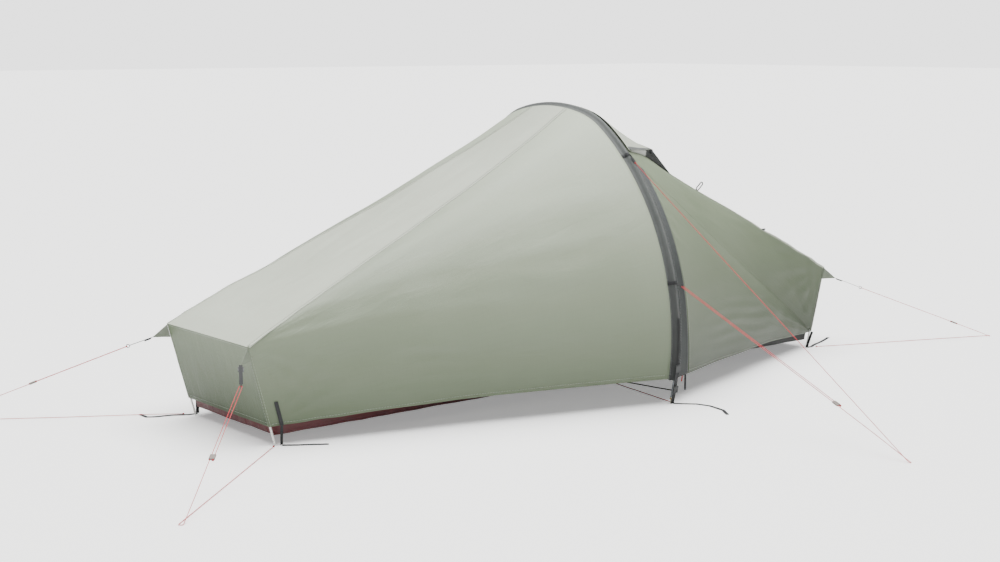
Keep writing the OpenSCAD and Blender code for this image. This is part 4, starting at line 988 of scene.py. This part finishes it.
def softCopy(name, nodes, material, body, ripple, step, grow=0.0):
    # Straps, tabs and loops keep the frame's outline; their faces are cut smaller and rippled like cloth.
    # grow thickens loops and knots by a share of a millimetre
    work = bmesh.new()
    for node in nodes:
        work.from_mesh(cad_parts[node].data)
    bmesh.ops.remove_doubles(work, verts=work.verts, dist=0.00001)
    bmesh.ops.dissolve_limit(work, angle_limit=math.radians(0.8), verts=work.verts, edges=work.edges)
    bmesh.ops.triangulate(work, faces=[f for f in work.faces if len(f.verts) > 4])
    for turn in range(5):
        longEdges = [e for e in work.edges if e.calc_length() > step * mm]
        if not longEdges or len(work.faces) > 16000:
            break
        bmesh.ops.subdivide_edges(work, edges=longEdges, cuts=1, use_grid_fill=True)
    if grow:
        work.normal_update()
        for v, normal in [(v, v.normal.copy()) for v in work.verts]:
            v.co += normal * grow * mm
    for v in work.verts:
        p = v.co / mm
        wave = noise.noise_vector(p / 16) * 0.6 + noise.noise_vector(p / 45)
        v.co += Vector((wave.x, wave.y, wave.z * (0.3 if p.z < 4 else 1))) * ripple * mm
        v.co.z = max(v.co.z, 0.0001)
    mesh = bpy.data.meshes.new(name)
    work.to_mesh(mesh)
    work.free()
    mesh.materials.clear()
    mesh.materials.append(material)
    for face in mesh.polygons:
        face.use_smooth = True
        face.material_index = 0
    mesh.set_sharp_from_angle(angle=math.radians(40))
    piece = bpy.data.objects.new(name, mesh)
    bpy.context.scene.collection.objects.link(piece)
    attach(piece, body)
    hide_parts(*nodes)
    return piece


softCopy("cornerTabs", ["corner_tabs"], tabNylon, "tent", 0.5, 8)
softCopy("cornerWebbing", ["corner_webbing"], blackWebbing, "tent", 0.25, 6)
softCopy("hemCornerStraps", ["hem_corner_straps"], blackWebbing, "tent", 0.5, 6)
softCopy("hoopGuyStraps", ["hoop_guy_straps"], blackWebbing, "tent", 0.2, 6)
softCopy("hoopFootStraps", ["hoop_foot_straps"], blackWebbing, "tent", 0.4, 6)
floorTies = softCopy("floorTies", ["floor_ties"], blackWebbing, "tent", 0.4, 8)
# The cords that run lowest in the ties are red
floorTies.data.materials.append(redCord)
work = bmesh.new()
work.from_mesh(floorTies.data)
seen = set()
for first in work.verts:
    if first in seen:
        continue
    island, queue = [], [first]
    seen.add(first)
    while queue:
        v = queue.pop()
        island.append(v)
        for e in v.link_edges:
            other = e.other_vert(v)
            if other not in seen:
                seen.add(other)
                queue.append(other)
    if max(v.co.z for v in island) < 0.027:
        for v in island:
            for face in v.link_faces:
                face.material_index = 1
work.to_mesh(floorTies.data)
work.free()
softCopy("innerHangers", ["inner_hangers"], blackWebbing, "tent", 0.3, 8)
softCopy("hemLoops", ["small_loops"], blackCord, "tent", 0.15, 3, 0.7)
softCopy("zipPuller", ["zip_puller"], redCord, "slider", 0.1, 3)
softCopy("lineKnots", ["line_knots"], redCord, "tent", 0.35, 1.5, 0.6)
softCopy("shockCord", ["shock_cord"], elasticCord, "tent", 0.0, 30)
print("straps and loops made")

# Hard parts keep the frame's shapes
finishes = {"pole_leg_near": poleAlloy, "pole_crown": poleAlloy, "pole_leg_far": poleAlloy,
            "pole_ferrules": ferruleAlloy, "pole_tips": tipAlloy, "corner_struts": whiteFibreglass,
            "zip_slider": sliderZinc, "vent_stiffener": blackAcetal, "corner_buckles": blackAcetal,
            "hoop_foot_buckles": blackAcetal, "pole_grommets": grommetBrass, "runner_foot_near": runnerAcetal,
            "runner_foot_far": runnerAcetal, "runner_head_near": runnerAcetal, "runner_hoop": runnerAcetal}
for node, material in finishes.items():
    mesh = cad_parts[node].data
    for slotIndex in range(max(1, len(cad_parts[node].material_slots))):
        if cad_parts[node].material_slots:
            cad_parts[node].material_slots[slotIndex].material = material
        else:
            mesh.materials.append(material)
print("hard parts finished")


def repeatTree(name):
    # Small bars laid end to end along every line of a mesh: stitches, or the teeth of a zip
    tree = bpy.data.node_groups.new(name, "GeometryNodeTree")
    face = tree.interface
    face.new_socket("Path", in_out="INPUT", socket_type="NodeSocketGeometry")
    for label in ("Pitch", "Bar Length", "Bar Radius"):
        face.new_socket(label, in_out="INPUT", socket_type="NodeSocketFloat")
    face.new_socket("Across", in_out="INPUT", socket_type="NodeSocketBool")
    face.new_socket("Seed", in_out="INPUT", socket_type="NodeSocketInt")
    face.new_socket("Thread", in_out="INPUT", socket_type="NodeSocketMaterial")
    face.new_socket("Bars", in_out="OUTPUT", socket_type="NodeSocketGeometry")
    given = addNode(tree, "NodeGroupInput").outputs
    curve = addNode(tree, "GeometryNodeMeshToCurve", {"Mesh": given["Path"]})
    spaced = addNode(tree, "GeometryNodeResampleCurve", {"Curve": curve.outputs[0]})
    spaced.mode = "LENGTH"
    tree.links.new(given["Pitch"], spaced.inputs["Length"])
    bar = addNode(tree, "GeometryNodeMeshCylinder", {"Vertices": 6, "Radius": given["Bar Radius"],
                                                     "Depth": given["Bar Length"]})
    tangent = addNode(tree, "GeometryNodeInputTangent")
    crosswise = addNode(tree, "GeometryNodeInputNormal")
    way = addNode(tree, "GeometryNodeSwitch", input_type="VECTOR")
    tree.links.new(given["Across"], way.inputs[0])
    tree.links.new(tangent.outputs[0], way.inputs[1])
    tree.links.new(crosswise.outputs[0], way.inputs[2])
    aim = addNode(tree, "FunctionNodeAlignEulerToVector", {"Vector": way.outputs[0]}, axis="Z")
    sway = addNode(tree, "FunctionNodeRandomValue", {"Seed": given["Seed"]}, data_type="FLOAT")
    sway.inputs[2].default_value = 0.92
    sway.inputs[3].default_value = 1.08
    tree.links.new(given["Seed"], sway.inputs["Seed"])
    put = addNode(tree, "GeometryNodeInstanceOnPoints", {"Points": spaced.outputs[0],
                                                         "Instance": bar.outputs[0],
                                                         "Rotation": aim.outputs[0]})
    tree.links.new(sway.outputs[1], put.inputs["Scale"])
    real = addNode(tree, "GeometryNodeRealizeInstances", {"Geometry": put.outputs[0]})
    soft = addNode(tree, "GeometryNodeSetShadeSmooth", {"Geometry": real.outputs[0]})
    done = addNode(tree, "GeometryNodeSetMaterial", {"Geometry": soft.outputs[0],
                                                     "Material": given["Thread"]})
    addNode(tree, "NodeGroupOutput", {"Bars": done.outputs[0]})
    return tree


barsAlongPath = repeatTree("barsAlongPath")


def barsPiece(name, lines, body, material, size):
    # size: pitch, length and radius of a bar in millimetres, and whether bars lie across the line
    points, edges = [], []
    for line in lines:
        start = len(points)
        points += [tuple(np.array(p) * mm) for p in line]
        edges += [(start + i, start + i + 1) for i in range(len(line) - 1)]
    mesh = bpy.data.meshes.new(name)
    mesh.from_pydata(points, edges, [])
    piece = bpy.data.objects.new(name, mesh)
    bpy.context.scene.collection.objects.link(piece)
    modifier = piece.modifiers.new("bars", "NODES")
    modifier.node_group = barsAlongPath
    given = {"Pitch": size["pitch"] * mm, "Bar Length": size["length"] * mm,
             "Bar Radius": size["radius"] * mm,
             "Across": size.get("across", False), "Seed": 4, "Thread": material}
    for item in barsAlongPath.interface.items_tree:
        if item.item_type == "SOCKET" and item.in_out == "INPUT" and item.name in given:
            modifier[item.identifier] = given[item.name]
    ready = bpy.data.meshes.new_from_object(piece.evaluated_get(bpy.context.evaluated_depsgraph_get()))
    piece.modifiers.clear()
    piece.data = ready
    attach(piece, body)
    return piece


def lifted(line, height, core=(0, 250)):
    return [p + outward(p, core) * height for p in line]


# Stitches are really 3 mm apart; drawn at 9 mm so that a seam shows as sewn
stitch = {"pitch": 9.0, "length": 6.2, "radius": 0.55}
seamUs = span(0.004, 0.996, 180)
tape = {"half": 7.0, "lift": 0.9, "thickness": 0.6}


def besideSeam(p, q, away):
    # A point at a given distance from p on the way to q
    return p + unit(q - p) * away


seamStitches, seamBands = [], []
for end in (-1, 1):
    for across in (-1, 1):
        rows = []
        for u in seamUs:
            if end > 0 and across < 0:
                down = drape(upperPoint(u, 0.93))
            else:
                down = drape(sidePoint(end, across, u, 0.97))
            ridge = drape(sidePoint(end, across, u, 1))
            inside = drape(roofPoint(end, min(u, cut) if end > 0 else u, across * 0.93)) if not (end > 0
                    and u > cut) \
                else ridge * 2 - down
            rows.append([besideSeam(ridge, down, tape["half"]), ridge, besideSeam(ridge, inside,
                    tape["half"])])
        band = np.array([[p + outward(p) * (tape["lift"] + (0.5 if k == 1 else 0)) for k, p in enumerate(row)]
                         for row in rows])
        seamBands.append((end, across, band))
        for k in (0, 2):
            seamStitches.append([mix(row[1], row[k], 0.6) + outward(row[1]) * 1.7 for row in rows])
for end, across, band in seamBands:
    name = "ridgeSeam" + ("Foot" if end < 0 else "Head") + ("Near" if across < 0 else "Far")
    strip = clothPiece(name, [band], flyNylon, tape["thickness"])
    sewnOn(strip, "tent", None)
hemLines = []
for end in (-1, 1):
    for across in (-1, 1):
        if end > 0 and across < 0:
            continue
        hemLines.append(lifted([drape(sidePoint(end, across, u, 0.014)) for u in span(0.01, 0.985, 150)],
                               0.5))
    edgeTop = [drape(vec(end * edgeX(tent["cornerH"]), w * tent["edgeY"], tent["cornerH"]))
               for w in span(-0.98, 0.98, 60)]
    hemLines.append([p + vec(-end * 4, 0, 0.9) for p in edgeTop])
    hemLines.append([p + vec(end * 0.6, 0, -4) for p in edgeTop])
    for across in (-1, 1):
        corner = [drape(cornerEdge(end, across, w)) for w in span(0.02, 0.97, 40)]
        hemLines.append([p + vec(end * 0.9, -across * 4, 0) for p in corner])
        hemLines.append([p + vec(-end * 4, across * 0.8, 0) for p in corner])
    hemLines.append([drape(vec(end * edgeX(70), w * (tent["edgeY"] - 4), 70)) + vec(end * 1.2, 0, 0)
                     for w in span(-1, 1, 60)])
flyStitches = barsPiece("flyStitches", seamStitches + hemLines, "tent", sewingThread, stitch)
sleeveLines = []
for side in (-1, 1):
    for offset in (tent["sleeveW"] / 2 - 2.2, 2.05 * channelR):
        sleeveLines.append([vec(tent["hoopX"] + side * offset,
                                hoop(abs(s), flange + 2.1)[0] * (1 if s > 0 else -1),
                                hoop(abs(s), flange + 2.1)[1]) for s in span(-sEnd + 4, sEnd - 4, 300)])
sleeveStitches = barsPiece("sleeveStitches", sleeveLines, "tent", greyThread, stitch)
flapLines = [[doorPoint(s, mix(flapEdge(s), 0, part)) + vec(0, -1,
                                                            0.1) * (flap["lift"] * (1 - part) ** 2 + 0.9)
              for s in span(sHem - 4, sDoor + 6, 160)] for part in (0.08, 0.93)]
flapStitches = barsPiece("flapStitches", flapLines, "tent", greyThread, stitch)
doorLines = [[drape(doorPoint(sHem - 12, q)) + vec(0, -1, 0) for q in span(0.94, flapEdge(sHem, 8), 120)],
             [drape(doorPoint(s, flapEdge(s, 12))) + vec(0, -1, 0) for s in span(sHem - 6, sDoor + 30, 140)]]
doorStitches = barsPiece("doorStitches", doorLines, "fly_door", sewingThread, stitch)
hoodLines = [[hoodPoint(0.03, a) + vec(0, 0, 0.5) for a in span(-0.97, 0.97, 60)]]
hoodLines += [[hoodPoint(t, a) + vec(0, 0, 0.5) for t in span(0.03, 0.97, 40)] for a in (-0.975, 0.975)]
hoodStitches = barsPiece("hoodStitches", hoodLines, "hood", greyThread, stitch)
print("stitches made")

# Grey binding folded over the hood's three free edges
edgeLine = [(t, -1) for t in span(0.98, 0, 34)] + [(0, a) for a in span(-1, 1, 60)[1:]] \
    + [(t, 1) for t in span(0, 0.98, 34)[1:]]
# Its inner edge as a share of the hood, and how high its two edges lie over the hood's cloth
hoodEdge = {"share": 0.037, "outerLift": 1.0, "innerLift": 1.3}
keep = 1 - hoodEdge["share"]
bindingGrid = np.array([[hoodPoint(t, a) + vec(0, 0, hoodEdge["outerLift"]),
                         hoodPoint(max(t, hoodEdge["share"]), min(keep, max(-keep, a)))
                         + vec(0, 0, hoodEdge["innerLift"])] for t, a in edgeLine])
binding = clothPiece("hoodBinding", [bindingGrid], sleevePolyester, 0.7)
sewnOn(binding, "hood", None)

# Zip teeth: a moulded coil, one turn every 2.4 mm, lying on the arc of the door's edge
zipC = mix(legC, doorCorner[1:], tent["flapW"] / doorReach)
zipFit = {"clearance": 0.9, "coil": 3, "coilGap": 0.5, "sliderWall": 1}
zipR = (tent["legR"] + flyOff) * (1 - tent["flapW"] / doorReach) - tent["flyT"] - zipFit["clearance"] \
    - (zipFit["coil"] + 2 * (zipFit["coilGap"] + zipFit["sliderWall"])) / 2
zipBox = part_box("zip_coil")
zipMiddle = (zipBox[0][0] + zipBox[1][0]) / 2 / mm
coilLine = []
for z in span(zipBox[0][2] / mm + 3, zipBox[1][2] / mm - 3, 160):
    coilLine.append(vec(zipMiddle, zipC[0] - math.sqrt(zipR ** 2 - (z - zipC[1]) ** 2), z))
zipTeeth = barsPiece("zipTeeth", [coilLine], "tent", sliderZinc, {"pitch": 2.4, "length": 3.0, "radius": 0.75,
                                                                   "across": True})
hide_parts("zip_coil")
print("zip made")

# Pale floor and a wide soft light overhead, a little towards the near side
studio = {"floor": "f4f4f3", "backdrop": 2.6, "floorLift": 0.35, "sky": 0.12, "key": 9.0, "keySpread": 75,
          "keyTilt": (0, 6, 0),
          "fill": 60}
floorMaterial, floorTree, floorShader = newMaterial("paperBackdrop", {"Roughness": 0.9,
        "Specular IOR Level": 0.1})
tint = addNode(floorTree, "ShaderNodeTexNoise", {"Scale": 3.0})
paper = addNode(floorTree, "ShaderNodeMix", data_type="RGBA")
floorTree.links.new(tint.outputs[0], paper.inputs[0])
paper.inputs[6].default_value = hexColour(studio["floor"])
paper.inputs[7].default_value = hexColour("f7f7f6")
floorTree.links.new(paper.outputs[2], floorShader.inputs["Base Color"])
shown = addNode(floorTree, "ShaderNodeLightPath")
lift = addNode(floorTree, "ShaderNodeMath", {0: shown.outputs[0], 1: studio["floorLift"]},
               operation="MULTIPLY")
floorShader.inputs["Emission Color"].default_value = hexColour("fbfbfb")
floorTree.links.new(lift.outputs[0], floorShader.inputs["Emission Strength"])
floorMesh = bpy.data.meshes.new("studioFloor")
floorMesh.from_pydata([(x, y, -0.0005) for x, y in ((-60, -60), (60, -60), (60, 60), (-60, 60))], [],
                      [(0, 1, 2, 3)])
floorMesh.materials.append(floorMaterial)
studioFloor = bpy.data.objects.new("studioFloor", floorMesh)
bpy.context.scene.collection.objects.link(studioFloor)
world = bpy.data.worlds.new("studio")
world.use_nodes = True
sky = world.node_tree
sky.nodes.clear()
seen = addNode(sky, "ShaderNodeLightPath")
strength = addNode(sky, "ShaderNodeMapRange", {"Value": seen.outputs[0], "To Min": studio["sky"],
                                               "To Max": studio["backdrop"]})
glow = addNode(sky, "ShaderNodeBackground", {"Color": hexColour("fbfbfb"), "Strength": strength.outputs[0]})
addNode(sky, "ShaderNodeOutputWorld", {"Surface": glow.outputs[0]})
bpy.context.scene.world = world
keyLamp = bpy.data.lights.new("keyLight", "SUN")
keyLamp.energy = studio["key"]
keyLamp.angle = math.radians(studio["keySpread"])
keyLight = bpy.data.objects.new("keyLight", keyLamp)
keyLight.rotation_euler = [math.radians(a) for a in studio["keyTilt"]]
bpy.context.scene.collection.objects.link(keyLight)
fillLamp = bpy.data.lights.new("fillLight", "AREA")
fillLamp.energy = studio["fill"]
fillLamp.size = 3.0
fillLight = bpy.data.objects.new("fillLight", fillLamp)
fillLight.location = (-5.0, -5.0, 2.5)
fillLight.rotation_euler = (Vector((0, 0, 0.4)) - fillLight.location).to_track_quat("-Z", "Y").to_euler()
bpy.context.scene.collection.objects.link(fillLight)
print("studio lit")
